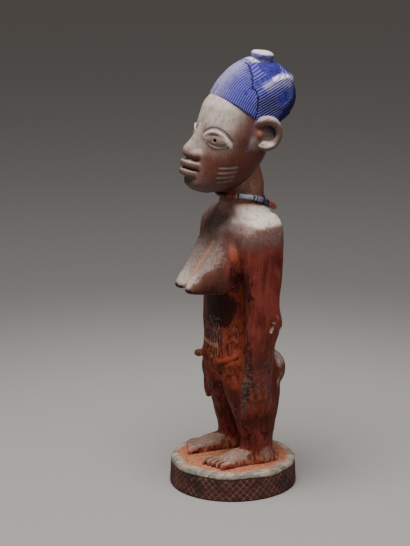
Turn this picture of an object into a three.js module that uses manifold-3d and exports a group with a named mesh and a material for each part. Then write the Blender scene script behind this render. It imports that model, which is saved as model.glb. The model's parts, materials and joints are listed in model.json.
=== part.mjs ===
// A carved wooden twin figure: a standing woman with a tall combed coiffure, on a round base cut
// from the same block, with a string of glass beads round the neck.
// Millimetres. The figure looks along -Y, its left is +X, up is +Z, and the origin is the centre of
// the base's underside.
import * as THREE from 'three';
import { mergeVertices } from 'three/addons/utils/BufferGeometryUtils.js';
import Module from 'manifold-3d';

// Driving dimensions.
const figureHeight = 262; // from the top of the base to the top of the coiffure's knob
const baseHeight = 18;
const baseMargin = 3; // the wood left round the little toes
const rimDrop = 4; // how far the worn rim falls from the middle of the base to its side
const rimWidth = 6.5;
const pupilRadius = 1.1;
const pupilDepth = 2.6;
const ridgeCount = 26; // the combed ridges on each side of the coiffure
const ridgeDepth = 0.7;
const beadRadius = 1.75;
const beadGap = 0.3; // the play left between one bead and the next
const threadRadius = 0.4;
const threadPlay = 0.4; // from the thread to the hole of a bead
const sidePlay = 1.25; // from the neck to the beads at its sides
const hangPlay = 3.25; // the same, on average, in front and behind
const loopDrop = 0.33; // how much the string of beads falls for each millimetre towards the back

// The carving's own numbers are for this height, and grow with it.
const drawnHeight = 262;
const unit = figureHeight / drawnHeight;
const neckWidth = 25.2;
const neckDepth = 26.4;
const degree = Math.PI / 180;

const wasm = await Module();
wasm.setup();

// A closed mesh as a solid that can be joined and cut.
function solid(geometry) {
  const bare = geometry.clone();
  for (const name of Object.keys(bare.attributes)) {
    if (name !== 'position') bare.deleteAttribute(name);
  }
  const merged = mergeVertices(bare, 1e-4);
  const mesh = new wasm.Mesh({
    numProp: 3,
    vertProperties: new Float32Array(merged.attributes.position.array),
    triVerts: new Uint32Array(merged.index.array),
  });
  return new wasm.Manifold(mesh);
}

function joined(geometries) {
  return geometries.map(solid).reduce((all, next) => all.add(next));
}

function geometryOf(body) {
  const { vertProperties, triVerts } = body.getMesh();
  const geometry = new THREE.BufferGeometry();
  geometry.setAttribute('position', new THREE.BufferAttribute(new Float32Array(vertProperties), 3));
  geometry.setIndex(new THREE.BufferAttribute(new Uint32Array(triVerts), 1));
  return geometry;
}

// A closed skin over rings of points that all have the same count, with a flat fan on each end.
function skin(rings) {
  const around = rings[0].length;
  const points = rings.flat();
  const faces = [];
  for (let ring = 0; ring + 1 < rings.length; ring++) {
    for (let i = 0; i < around; i++) {
      const a = ring * around + i;
      const b = ring * around + ((i + 1) % around);
      faces.push(a, b, b + around, a, b + around, a + around);
    }
  }
  for (const end of [0, rings.length - 1]) {
    const middle = new THREE.Vector3();
    rings[end].forEach((point) => middle.addScaledVector(point, 1 / around));
    points.push(middle);
    for (let i = 0; i < around; i++) {
      const a = end * around + i;
      const b = end * around + ((i + 1) % around);
      faces.push(...(end ? [a, b] : [b, a]), points.length - 1);
    }
  }
  const geometry = new THREE.BufferGeometry().setFromPoints(points);
  geometry.setIndex(faces);
  return geometry;
}

// The values of a row of stations, read smoothly anywhere between the first and the last.
function smooth(stations) {
  const keys = Object.keys(stations[0]).filter((key) => key !== 'at');
  const places = stations.map((station) => station.at);
  const values = stations.flatMap((station) => keys.map((key) => station[key]));
  const curve = new THREE.CubicInterpolant(places, values, keys.length);
  return (place) => {
    const found = curve.evaluate(THREE.MathUtils.clamp(place, places[0], places.at(-1)));
    return Object.fromEntries(keys.map((key, i) => [key, found[i]]));
  };
}

// A point on a rounded outline that reaches w to each side, low on one face and high on the other.
function onOutline({ w, low, high, square }, turn) {
  const c = Math.cos(turn);
  const s = Math.sin(turn);
  const power = 2 / square;
  return [
    w * Math.sign(c) * Math.abs(c) ** power,
    (s < 0 ? low : high) * Math.sign(s) * Math.abs(s) ** power,
  ];
}

// A form whose cross-sections are rounded outlines. Its stations run up the Z axis, where low is
// the front and high the back, or forward along -Y, where low is the underside and high the top.
function loft(stations, around, forward = false) {
  return skin(stations.map((station) => Array.from({ length: around }, (_, i) => {
    const [across, along] = onOutline(station, (2 * Math.PI * i) / around);
    const point = forward
      ? new THREE.Vector3(station.x + across, -station.at, station.z + along)
      : new THREE.Vector3(station.x + across, station.y + along, station.at);
    return point.multiplyScalar(unit);
  })));
}

// A strand along a curve, given by its points and by its radius from end to end.
function strand(points, radii, steps, sides) {
  const curve = new THREE.CatmullRomCurve3(points.map((point) => new THREE.Vector3(...point)));
  const { tangents, normals, binormals } = curve.computeFrenetFrames(steps, false);
  const radiusAt = smooth(radii.map((radius, i) => ({ at: i / (radii.length - 1), radius })));
  return skin(tangents.map((_, step) => {
    const place = curve.getPointAt(step / steps);
    const { radius } = radiusAt(step / steps);
    return Array.from({ length: sides }, (_, i) => {
      const turn = (2 * Math.PI * i) / sides;
      return place.clone()
        .addScaledVector(normals[step], radius * Math.cos(turn))
        .addScaledVector(binormals[step], radius * Math.sin(turn))
        .multiplyScalar(unit);
    });
  }));
}

function ellipsoid([x, y, z], [rx, ry, rz], around, high) {
  return new THREE.SphereGeometry(1, around, high)
    .rotateX(90 * degree)
    .scale(rx * unit, ry * unit, rz * unit)
    .translate(x * unit, y * unit, z * unit);
}

// A form on the figure's left and its copy on the right.
function bothSides(geometry) {
  const copy = geometry.clone().scale(-1, 1, 1);
  const index = copy.index.array;
  for (let i = 0; i < index.length; i += 3) {
    [index[i], index[i + 1]] = [index[i + 1], index[i]];
  }
  return [geometry, copy];
}

const toeCount = 5;
const toePitch = 3.9;
const toeRadius = 2.1;
const toePlaces = Array.from({ length: toeCount }, (_, i) => [11 + i * toePitch, -26.4 + 0.5 * i]);

// The base: a thick disc, not quite round, with a worn rim and a true flat underside.
function base() {
  const littleToe = Math.hypot(...toePlaces.at(-1)) + toeRadius;
  const radius = littleToe * unit + baseMargin;
  const side = baseHeight - rimDrop;
  const outline = [
    [0, 0],
    [radius, 0],
    [radius - 0.7, side],
    [radius - 0.3 * rimWidth, side + 0.6 * rimDrop],
    [radius - rimWidth, baseHeight - 0.2],
    [0, baseHeight],
  ];
  const disc = new THREE.LatheGeometry(outline.map(([r, z]) => new THREE.Vector2(r, z)), 32)
    .rotateX(90 * degree);
  const place = disc.attributes.position;
  const unevenness = 0.008;
  for (let i = 0; i < place.count; i++) {
    const bulge = 1 - unevenness * (1 + Math.sin(3 * Math.atan2(place.getY(i), place.getX(i)) + 0.6));
    place.setXY(i, place.getX(i) * bulge, place.getY(i) * bulge);
  }
  return disc;
}

// The trunk from the hips up, with the shoulders and the neck in one sweep.
const trunkStations = [
  { at: 50, x: 0, y: 0, w: 14, low: 9, high: 18, square: 2.2 },
  { at: 58, x: 0, y: 0, w: 21, low: 14.4, high: 21, square: 2.3 },
  { at: 66, x: 0, y: 0, w: 23.4, low: 17, high: 20, square: 2.3 },
  { at: 76, x: 0, y: 0, w: 22.2, low: 17, high: 17.6, square: 2.2 },
  { at: 90, x: 0, y: 0, w: 20, low: 16.2, high: 15.6, square: 2.2 },
  { at: 106, x: 0, y: 0, w: 19.5, low: 15.8, high: 16, square: 2.2 },
  { at: 122, x: 0, y: 0, w: 22, low: 15.2, high: 18, square: 2.3 },
  { at: 138, x: 0, y: 0, w: 27, low: 14.2, high: 20, square: 2.5 },
  { at: 149, x: 0, y: 0.6, w: 31.5, low: 13, high: 20.4, square: 2.6 },
  { at: 155, x: 0, y: 4.4, w: 32.6, low: 13, high: 17, square: 2.6 },
  { at: 160, x: 0, y: 8, w: 28, low: 13.4, high: 12.8, square: 2.3 },
  { at: 164.4, x: 0, y: 8, w: 19, low: 15.4, high: 12.4, square: 2 },
  { at: 168, x: 0, y: 6.8, w: 14.6, low: 15.6, high: 14, square: 2 },
  { at: 171, x: 0, y: 6.4, w: neckWidth / 2 + 0.2, low: neckDepth / 2, high: neckDepth / 2, square: 2 },
  { at: 177, x: 0, y: 6.6, w: neckWidth / 2, low: neckDepth / 2, high: neckDepth / 2, square: 2 },
  { at: 194, x: 0, y: 3, w: 12, low: 12, high: 12, square: 2 },
];

const breastStations = [
  { at: 8, x: 13, z: 131, w: 13, low: 16, high: 24, square: 2.6 },
  { at: 14, x: 12.2, z: 127, w: 12.2, low: 15, high: 18.6, square: 2.5 },
  { at: 20, x: 10.3, z: 122.5, w: 10.2, low: 11, high: 14.2, square: 2.4 },
  { at: 27, x: 8.8, z: 118, w: 8.6, low: 5.8, high: 9.6, square: 2.3 },
  { at: 32, x: 7.7, z: 115.8, w: 6.8, low: 3.3, high: 5.6, square: 2.2 },
  { at: 35, x: 7.3, z: 114.6, w: 4.2, low: 1.8, high: 2.8, square: 2 },
];

// The arm hangs from the shoulder to a flat palm on the thigh, with a bony elbow behind.
const armStations = [
  { at: 44, x: 27, y: 3, w: 4, low: 8, high: 9.4, square: 2.8 },
  { at: 58, x: 28, y: 3, w: 4.8, low: 9.6, high: 10, square: 2.6 },
  { at: 78, x: 29.6, y: 3, w: 5.8, low: 9.2, high: 11, square: 2.5 },
  { at: 87, x: 30.4, y: 4, w: 6.4, low: 10, high: 12.4, square: 2.4 },
  { at: 92, x: 30.6, y: 4.6, w: 6.5, low: 10.2, high: 14, square: 2.4 },
  { at: 106, x: 30.2, y: 5, w: 6.6, low: 10.4, high: 11.8, square: 2.5 },
  { at: 122, x: 29.4, y: 4.8, w: 6.9, low: 11.6, high: 13.8, square: 2.6 },
  { at: 140, x: 28.3, y: 4.3, w: 7.4, low: 13.2, high: 15.8, square: 2.7 },
  { at: 151, x: 27, y: 5, w: 7.8, low: 13, high: 15.4, square: 2.7 },
  { at: 157, x: 25, y: 7, w: 8, low: 10.2, high: 13, square: 2.5 },
  { at: 161.5, x: 22, y: 9, w: 6.6, low: 7.4, high: 9.6, square: 2.2 },
];

const fingerTips = [ // from the index finger back
  { y: -4.6, z: 33 },
  { y: 0.4, z: 32.4 },
  { y: 5.6, z: 33 },
  { y: 10.6, z: 36.6 },
];
const fingerX = 27.2;
const knuckleZ = 49;
const thumb = [[29.4, -2.4, 66], [29, -4.8, 58], [28, -6, 50], [27.4, -5.8, 45]];

function fingers() {
  const made = fingerTips.map(({ y, z }) => strand(
    [[fingerX + 0.2, 0.94 * y + 0.2, knuckleZ], [fingerX, y, (knuckleZ + z) / 2], [fingerX - 1, y, z]],
    [2.6, 3, 2.9, 2], 3, 6));
  return [...made, strand(thumb, [2, 2.7, 2.5, 1.6], 3, 5)];
}

// A short, heavy leg, deep at the thigh and nearly upright to the ankle.
const legStations = [
  { at: 0.5, x: 16.5, y: 9, w: 9.6, low: 10.2, high: 10.2, square: 2.1 },
  { at: 14, x: 16.3, y: 9, w: 9.6, low: 10.6, high: 10.4, square: 2.1 },
  { at: 23, x: 15.8, y: 8.6, w: 10.4, low: 12.4, high: 12.4, square: 2.2 },
  { at: 33, x: 15, y: 7.6, w: 11.2, low: 14.4, high: 16, square: 2.2 },
  { at: 44, x: 13.6, y: 5.8, w: 11.8, low: 16.4, high: 20, square: 2.2 },
  { at: 56, x: 12.8, y: 5, w: 11.8, low: 18, high: 21, square: 2.2 },
  { at: 68, x: 12, y: 4, w: 10.6, low: 17.6, high: 15, square: 2.2 },
];

const footStations = [
  { at: -22.6, x: 16.6, z: 0, w: 4.4, low: 1.5, high: 3.4, square: 2.2 },
  { at: -20, x: 16.6, z: 0, w: 7.4, low: 1.5, high: 6.2, square: 2.3 },
  { at: -8, x: 16.8, z: 0, w: 8.4, low: 1.5, high: 9.6, square: 2.4 },
  { at: 3, x: 17.2, z: 0, w: 8.6, low: 1.5, high: 10, square: 2.4 },
  { at: 13, x: 18.2, z: 0, w: 9.4, low: 1.5, high: 7.6, square: 2.5 },
  { at: 21.6, x: 18.8, z: 0, w: 9.6, low: 1.5, high: 5.8, square: 2.6 },
];

function toes() {
  return toePlaces.map(([x, y], i) => {
    const radius = i ? toeRadius : 1.2 * toeRadius;
    return strand([[x, y + 8, 3.4], [x, y + 4, 3.8], [x, y + 1, 2.8], [x, y + 0.6, 0.4]],
      [1.6, radius, radius, 0.9 * radius], 4, 5);
  });
}

function navel() {
  return strand([[0, -15, 71], [0, -21, 71], [0, -26, 71]], [1.7, 1.6, 2, 1.1], 3, 7);
}

// The head has its own upright frame, which leans back on the neck.
const headCentre = [0, 3, 204];
const headLean = 15 * degree;

function onNeck(geometry) {
  return geometry.rotateX(-headLean).translate(...headCentre.map((v) => v * unit));
}

const headStations = [
  { at: -33.5, x: 0, y: -19, w: 6, low: 6, high: 8, square: 2 },
  { at: -31.4, x: 0, y: -17, w: 10.8, low: 11.2, high: 12, square: 2.1 },
  { at: -27, x: 0, y: -13, w: 16, low: 15.6, high: 17, square: 2.1 },
  { at: -20, x: 0, y: -8, w: 19.4, low: 20.4, high: 18, square: 2.1 },
  { at: -12, x: 0, y: -4.5, w: 21.3, low: 23.3, high: 18.4, square: 2.2 },
  { at: -3, x: 0, y: -2, w: 22.2, low: 25.4, high: 18.5, square: 2.2 },
  { at: 7, x: 0, y: -1, w: 22.6, low: 27.2, high: 20, square: 2.2 },
  { at: 17, x: 0, y: 0, w: 22.2, low: 27.6, high: 21, square: 2.2 },
  { at: 26, x: 0, y: 0, w: 20.4, low: 25, high: 20.6, square: 2.2 },
  { at: 35, x: 0, y: 1, w: 12, low: 17, high: 17, square: 2.1 },
];
const headSection = smooth(headStations);

// A point on the skin of the head: turn is measured from straight ahead towards the left ear.
function onHead(turn, z, lift = 0) {
  const outline = headSection(z);
  const [x, y] = onOutline(outline, turn - 90 * degree);
  const away = new THREE.Vector2(x / outline.w ** 2, y / outline.low ** 2).normalize();
  return [x + lift * away.x, outline.y + y + lift * away.y, z];
}

// Half the head's width at a place on its side.
function headHalfWidth(y, z) {
  const { y: middle, w, low, high, square } = headSection(z);
  const share = Math.min(1, Math.abs(y - middle) / (y < middle ? low : high));
  return w * (1 - share ** square) ** (1 / square);
}

// The face stands on even thirds: hairline to brow, brow to the nose's base, and that to the chin.
const hairlineZ = 25.5;
const chinZ = -33;
const third = (hairlineZ - chinZ) / 3;
const browZ = hairlineZ - third;
const noseZ = browZ - third;
const mouthZ = noseZ - 0.4 * third;
const eyeZ = browZ - 0.32 * third;
const eyeTurn = 37 * degree;
const eyeSpan = 23 * degree;
const eyeHeight = 5;

function eyes() {
  const [x, y, z] = onHead(eyeTurn, eyeZ, -2.1);
  const ball = ellipsoid([0, 0, 0], [8, 3.8, eyeHeight - 0.4], 8, 5)
    .rotateZ(0.95 * eyeTurn)
    .translate(x * unit, y * unit, z * unit);
  const lids = [1, -0.8].map((side) => {
    const points = [-1, -0.5, 0, 0.5, 1].map((t) => {
      const rise = side * eyeHeight * (1 - t * t) - 0.6 * t;
      return onHead(eyeTurn + eyeSpan * t, eyeZ + rise, 0.1);
    });
    return strand(points, [0.5, 1.1, 1.3, 1.1, 0.5], 5, 5);
  });
  return [ball, ...lids].flatMap(bothSides);
}

function pupils() {
  const [x, y, z] = onHead(eyeTurn, eyeZ, 1.5);
  const reach = 8;
  return bothSides(onNeck(new THREE.CylinderGeometry(pupilRadius, pupilRadius, reach, 8)
    .translate(0, reach / 2 - pupilDepth, 0)
    .rotateZ(180 * degree + eyeTurn)
    .translate(x * unit, y * unit, z * unit)));
}

const noseStations = [
  { at: noseZ - 2, x: 0, y: -25, w: 4.6, low: 6, high: 2, square: 2 },
  { at: noseZ, x: 0, y: -25, w: 6, low: 10.4, high: 2, square: 2 },
  { at: noseZ + 3.5, x: 0, y: -25, w: 5, low: 11, high: 2, square: 2 },
  { at: noseZ + 10, x: 0, y: -25, w: 3.6, low: 7.6, high: 2, square: 2 },
  { at: browZ, x: 0, y: -25, w: 2.8, low: 4, high: 2, square: 2 },
  { at: browZ + 5, x: 0, y: -25, w: 1.6, low: 2, high: 2, square: 2 },
];

function nose() {
  return [
    loft(noseStations, 8),
    ...bothSides(ellipsoid([5.4, -28.6, noseZ + 1.4], [2.9, 4, 2.8], 7, 5)),
  ];
}

function lips() {
  const halfHeight = 2.5;
  const parting = 2.7;
  return [[mouthZ + parting, 9.6, 14.6], [mouthZ - parting, 9, 14]].map(([z, w, low]) => loft([
    { at: z - halfHeight, x: 0, y: -20, w: w - 2.4, low: low - 2.6, high: 5, square: 2.4 },
    { at: z - 0.55 * halfHeight, x: 0, y: -20, w, low, high: 5, square: 2.6 },
    { at: z + 0.55 * halfHeight, x: 0, y: -20, w, low, high: 5, square: 2.6 },
    { at: z + halfHeight, x: 0, y: -20, w: w - 2.4, low: low - 2.6, high: 5, square: 2.4 },
  ], 12));
}

// A cupped ear, open to the front, with a small knob in its mouth.
function ears() {
  const rim = strand(
    [[20.6, -2.4, 14.6], [23.4, 1.6, 18], [25.2, 6.6, 18.4], [26, 11, 15.4],
      [25.8, 12.6, 10.4], [24.8, 11, 5], [23, 7, 2.2], [20.6, 2.4, 2.6]],
    [1.3, 2.3, 2.5, 2.5, 2.5, 1.3], 8, 6);
  const bowl = ellipsoid([18, 7.6, 10.4], [5, 6.6, 8], 8, 5);
  const knob = ellipsoid([22, 1.6, 9.8], [2, 2.2, 2.6], 6, 4);
  return [rim, bowl, knob].flatMap(bothSides);
}

// The coiffure is combed from the hairline up and back. Each of its ridges starts at the hairline
// and ends on the crest of the dome or, behind that, on the edge of a raised lobe. The stations run
// from the brow to the nape, and give the foot and the end of a ridge as seen from the side.
const domeStations = [
  { at: 0, footY: -25.2, footZ: 25.2, endY: -19, endZ: 40, corner: 0 },
  { at: 0.14, footY: -25, footZ: 26, endY: -12.6, endZ: 48.6, corner: 0 },
  { at: 0.28, footY: -21.5, footZ: 25, endY: -3, endZ: 53.6, corner: 0 },
  { at: 0.44, footY: -15.5, footZ: 22.2, endY: 9.4, endZ: 54, corner: 0 },
  { at: 0.58, footY: -9.6, footZ: 19.4, endY: 18.6, endZ: 50, corner: 0 },
];
const lobeStations = [
  { at: 0.58, footY: -9.2, footZ: 19.2, endY: 19.2, endZ: 49, corner: 12.4 },
  { at: 0.72, footY: -2.6, footZ: 16.2, endY: 20.8, endZ: 41.5, corner: 13.2 },
  { at: 0.86, footY: 5, footZ: 14.4, endY: 22.6, endZ: 33.5, corner: 13.8 },
  { at: 1, footY: 12.6, footZ: 14, endY: 23.4, endZ: 25, corner: 13 },
];
const lobeStart = lobeStations[0].at;
const domeAt = smooth(domeStations);
const lobeAt = smooth(lobeStations);
const sweep = 0.08; // how far a ridge bows forward of the straight line, as a share of its length
const hairLift = 1.2; // how far the hair stands off the head along the hairline
const archPoints = 5;
const lobeSquareness = 0.85; // below 1 an arch of the hair is squarer than a round one

function ridgeRing(share, inset) {
  const isLobe = share >= lobeStart;
  const { footY, footZ, endY, endZ, corner } = isLobe ? lobeAt(share) : domeAt(share);
  const foot = new THREE.Vector2(footY, footZ);
  const end = new THREE.Vector2(endY, endZ);
  const along = end.clone().sub(foot);
  const bend = foot.clone().lerp(end, 0.5)
    .add(new THREE.Vector2(-along.y, along.x).multiplyScalar(2 * sweep));
  const bow = new THREE.QuadraticBezierCurve(foot, bend, end);
  const power = isLobe ? lobeSquareness : 1;
  const parting = Math.min(1, 0.1 + 25 * share); // the first ring closes to a line between the brows
  const width = parting * (headHalfWidth(footY, footZ) + hairLift);
  const half = Array.from({ length: archPoints }, (_, i) => {
    const turn = (i / (isLobe ? archPoints - 1 : archPoints)) * 90 * degree;
    const { x: y, y: z } = bow.getPoint(Math.sin(turn) ** power);
    const x = corner + (width - corner) * Math.cos(turn) ** power;
    return new THREE.Vector3(Math.max(0.05, x - inset), y, z);
  });
  const valley = isLobe ? 2.4 : 0.4 * inset; // between the lobes the hair lies lower
  const top = end.clone().addScaledVector(along.normalize(), -valley);
  const ring = [
    ...half,
    new THREE.Vector3(0, top.x, top.y),
    ...half.map(({ x, y, z }) => new THREE.Vector3(-x, y, z)).reverse(),
    new THREE.Vector3(0, 0.75 * footY, footZ - 8),
  ];
  return ring.map((point) => point.multiplyScalar(unit));
}

function hair() {
  const steps = 2 * ridgeCount;
  const fromNape = Array.from({ length: steps + 1 }, (_, i) => 1 - i / steps);
  return skin(fromNape.map((share, i) => ridgeRing(share, i % 2 ? 0 : ridgeDepth)));
}

function crest() {
  return strand(
    [[0, 4, 48], [0, 10, 49.4], [0, 18, 44.6], [0, 22.6, 35], [0, 21, 26], [0, 15, 17]],
    [6, 6.4, 7, 8.6, 7.6, 3], 7, 8);
}

function knob() {
  const outline = [[0, 46], [6.4, 46], [6, 53.6], [7.2, 55.6], [7, 58], [4.6, 59.2], [0, 59.4]];
  return new THREE.LatheGeometry(outline.map(([r, z]) => new THREE.Vector2(r * unit, z * unit)), 12)
    .rotateX(90 * degree)
    .rotateX(0.4 * headLean)
    .translate(0, 6 * unit, 0);
}

// The carving: figure and base are one piece of wood.
function carving() {
  const head = [
    loft(headStations, 18), ...eyes(), ...nose(), ...lips(), ...ears(), hair(), crest(), knob(),
  ].map(onNeck);
  const limbs = [
    loft(breastStations, 10, true), ellipsoid([11.3, 16.6, 58.4], [12.2, 14, 14], 9, 6),
    loft(armStations, 10), ...fingers(), loft(legStations, 10), loft(footStations, 10, true),
    ...toes(),
  ].flatMap(bothSides);
  const standing = [loft(trunkStations, 18), navel(), ...limbs, ...head];
  const raised = (geometry) => geometry.translate(0, 0, baseHeight);
  return joined([base(), ...standing.map(raised)]).subtract(joined(pupils().map(raised)));
}

// The string of beads lies on the sides of the neck and hangs in front and behind.
const loopCentre = new THREE.Vector3(0, 8.4 * unit, baseHeight + 166.7 * unit);
const loopWidth = neckWidth * unit + 2 * (sidePlay + beadRadius);
const loopDepth = neckDepth * unit + 2 * (hangPlay + beadRadius);
const loopSag = 4.4 * unit; // how far its front and back hang below its sides
const sharpestBend = loopWidth ** 2 / (2 * loopDepth); // the radius of the string in front and behind

function loopCurve() {
  const corners = 24;
  return new THREE.CatmullRomCurve3(Array.from({ length: corners }, (_, i) => {
    const turn = (2 * Math.PI * i) / corners;
    const x = (loopWidth / 2) * Math.sin(turn);
    const y = (-loopDepth / 2) * Math.cos(turn);
    const rise = loopSag * Math.sin(turn) ** 2 - loopDrop * y;
    return new THREE.Vector3(x, y, rise).add(loopCentre);
  }), true);
}

const darkRed = { color: 0x5e1414, roughness: 0.35 };
const coral = { color: 0xb0442e, roughness: 0.4 };
const white = { color: 0xd9d6cf, roughness: 0.35 };
const paleBlue = { color: 0xb9c4da, roughness: 0.3 };
const lavender = { color: 0x8d8fb8, roughness: 0.35 };
const darkBlue = { color: 0x1c2450, roughness: 0.3 };
const brown = { color: 0x7a3b26, roughness: 0.45 };

// The beads in order from the front, round the figure's left side: how many, how long, how thick
// and of which glass. The lengths are shares of the string, which they fill.
const beadRuns = [
  { count: 5, length: 1.35, radius: beadRadius, glass: darkRed },
  { count: 3, length: 1.35, radius: beadRadius, glass: coral },
  { count: 1, length: 1.2, radius: beadRadius, glass: white },
  { count: 1, length: 10.4, radius: 0.86 * beadRadius, glass: paleBlue },
  { count: 1, length: 1.2, radius: beadRadius, glass: white },
  { count: 1, length: 4.6, radius: beadRadius, glass: lavender },
  { count: 1, length: 5.2, radius: beadRadius, glass: darkBlue },
  { count: 3, length: 2.6, radius: 1.1 * beadRadius, glass: coral },
  { count: 2, length: 2.4, radius: 1.05 * beadRadius, glass: brown },
  { count: 1, length: 8, radius: 0.9 * beadRadius, glass: darkBlue },
  { count: 1, length: 1.2, radius: beadRadius, glass: white },
  { count: 1, length: 10.4, radius: 0.86 * beadRadius, glass: paleBlue },
  { count: 1, length: 1.2, radius: beadRadius, glass: white },
  { count: 3, length: 2.6, radius: 1.1 * beadRadius, glass: coral },
  { count: 1, length: 8, radius: 0.9 * beadRadius, glass: lavender },
  { count: 2, length: 2.4, radius: 1.05 * beadRadius, glass: brown },
  { count: 1, length: 8, radius: 0.9 * beadRadius, glass: darkBlue },
  { count: 5, length: 1.35, radius: beadRadius, glass: darkRed },
];

function beadGeometry(radius, length) {
  const half = length / 2;
  const hole = threadRadius + threadPlay;
  const outline = [
    [hole, -half], [radius, -half], [radius, half], [hole, half], [hole, -half],
  ];
  return new THREE.LatheGeometry(outline.map(([r, y]) => new THREE.Vector2(r, y)), 6);
}

const wood = new THREE.MeshStandardMaterial({ color: 0x5a3226, roughness: 0.62, metalness: 0 });
const thread = new THREE.MeshStandardMaterial({ color: 0x3a2a20, roughness: 0.9, metalness: 0 });

const group = new THREE.Group();

function place(name, geometry, material) {
  const mesh = new THREE.Mesh(geometry, material);
  mesh.name = name;
  group.add(mesh);
  return mesh;
}

place('figure', geometryOf(carving()), wood);

// Each bead sits on a straight stretch of the thread, which bends only between beads.
const beads = beadRuns.flatMap(({ count, ...bead }) => Array(count).fill(bead));
const loop = loopCurve();
const string = loop.getLength();
const drawnString = beads.reduce((sum, { length }) => sum + length, 0);
const turnRoom = (1.1 * beadRadius) / sharpestBend; // the room beside a bead, as a share of its length
const stretch = (string - beads.length * beadGap) / (drawnString * (1 + turnRoom));
const bends = [];
let reached = 0;
beads.forEach(({ length: share, radius, glass }, i) => {
  const length = stretch * share;
  const room = beadGap + turnRoom * length;
  const ends = [reached + room / 2, reached + room / 2 + length]
    .map((place) => loop.getPointAt(place / string));
  reached += length + room;
  bends.push(...ends);
  const bead = place(`bead_${String(i + 1).padStart(2, '0')}`,
    beadGeometry(radius, ends[0].distanceTo(ends[1])),
    new THREE.MeshStandardMaterial({ ...glass, metalness: 0 }));
  bead.position.addVectors(...ends).multiplyScalar(0.5);
  bead.quaternion.setFromUnitVectors(
    new THREE.Vector3(0, 1, 0), ends[1].clone().sub(ends[0]).normalize());
});
const threadPath = new THREE.CatmullRomCurve3(bends, true, 'catmullrom', 0);
const threadSteps = 40;
const threadSides = 8;
place('necklace_thread',
  new THREE.TubeGeometry(threadPath, threadSteps, threadRadius, threadSides, true), thread);

export default group;
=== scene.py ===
# A carved wooden twin figure with a string of glass beads round her neck, on a plain pale floor.
# The carving is drawn in millimetres above the top of its base, and everything made from it is in metres.
import json
import math
from itertools import product

import bpy
import numpy as np
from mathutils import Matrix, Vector
from mathutils.bvhtree import BVHTree


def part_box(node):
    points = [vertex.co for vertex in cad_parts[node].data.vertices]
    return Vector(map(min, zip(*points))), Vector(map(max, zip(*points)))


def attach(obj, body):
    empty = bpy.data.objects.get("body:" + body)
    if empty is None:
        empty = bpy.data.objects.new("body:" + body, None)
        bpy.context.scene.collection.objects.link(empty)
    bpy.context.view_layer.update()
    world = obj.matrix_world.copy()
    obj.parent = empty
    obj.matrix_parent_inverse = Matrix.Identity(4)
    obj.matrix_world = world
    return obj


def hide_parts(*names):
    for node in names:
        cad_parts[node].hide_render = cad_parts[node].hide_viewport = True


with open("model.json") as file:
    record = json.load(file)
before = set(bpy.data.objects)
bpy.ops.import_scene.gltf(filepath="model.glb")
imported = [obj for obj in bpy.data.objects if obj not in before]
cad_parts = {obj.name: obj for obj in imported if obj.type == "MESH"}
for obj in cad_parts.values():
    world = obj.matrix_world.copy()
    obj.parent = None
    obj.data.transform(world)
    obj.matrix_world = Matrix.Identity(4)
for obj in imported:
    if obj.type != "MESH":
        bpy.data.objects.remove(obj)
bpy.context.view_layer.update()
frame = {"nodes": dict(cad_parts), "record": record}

MM = 0.001
BODY = "root"
figure_low, figure_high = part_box("figure")

# The camera of the photograph.
photo_height = 546
camera_azimuth = math.radians(64)
camera_distance = 1.4
camera_height = 0.523
camera_pitch = math.radians(15.37)
focal_pixels = 2307
axis_offset = 29.2  # how far right of the photograph's middle the figure's axis stands, in pixels


def add(made):
    bpy.context.scene.collection.objects.link(made)


def make_camera():
    data = bpy.data.cameras.new("camera")
    data.sensor_width = 36
    data.lens = data.sensor_width * focal_pixels / photo_height
    data.clip_start = 0.05
    camera = bpy.data.objects.new("camera", data)
    camera.location = (
        camera_distance * math.sin(camera_azimuth),
        -camera_distance * math.cos(camera_azimuth),
        camera_height,
    )
    turn = camera_azimuth + math.atan(axis_offset / focal_pixels)
    camera.rotation_euler = (math.pi / 2 - camera_pitch, 0, turn)
    add(camera)
    bpy.context.scene.camera = camera


# Curves through given values


def hermite(x, y, slopes, places):
    """The cubic through the rows y at x, read at the places asked for."""
    i = np.clip(np.searchsorted(x, places, side="right") - 1, 0, len(x) - 2)
    width = (x[i + 1] - x[i])[:, None]
    t = (places - x[i])[:, None] / width
    return (
        (2 * t**3 - 3 * t**2 + 1) * y[i]
        + (t**3 - 2 * t**2 + t) * width * slopes[i]
        + (3 * t**2 - 2 * t**3) * y[i + 1]
        + (t**3 - t**2) * width * slopes[i + 1]
    )


def between(x, y, places):
    """Rows read smoothly between the rows y at x, never past the values on either side."""
    x = np.asarray(x, float)
    y = np.asarray(y, float)
    gap = np.diff(x)[:, None]
    climb = np.diff(y, axis=0) / gap
    before, after = 2 * gap[1:] + gap[:-1], gap[1:] + 2 * gap[:-1]
    with np.errstate(divide="ignore", invalid="ignore"):
        middle = (before + after) / (before / climb[:-1] + after / climb[1:])
    middle = np.where(climb[:-1] * climb[1:] > 0, middle, 0)
    slopes = np.concatenate([climb[:1], middle, climb[-1:]])
    return hermite(x, y, slopes, np.clip(places, x[0], x[-1]))


def curve_through(points, count):
    """Evenly spread places on a smooth curve through the points, and each place's share of the way."""
    points = np.asarray(points, float)
    steps = np.linalg.norm(np.diff(points, axis=0), axis=1)
    way = np.concatenate([[0], np.cumsum(steps)])
    places = np.linspace(0, way[-1], count)
    return hermite(way, points, np.gradient(points, way, axis=0), places), places / way[-1]


def rise(value, low, high):
    """0 up to low, 1 from high, and smooth in between."""
    share = np.clip((value - low) / (high - low), 0, 1)
    return share * share * (3 - 2 * share)


def fall(value, low, high):
    """1 up to low, 0 from high, and smooth in between."""
    return 1 - rise(value, low, high)


def window(value, low, high, soft):
    """1 between low and high, fading over the softness at either end."""
    return rise(value, low - soft, low + soft) * fall(value, high - soft, high + soft)


def most(*values):
    """The greatest of several values at each point."""
    return np.maximum.reduce(values)


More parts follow.
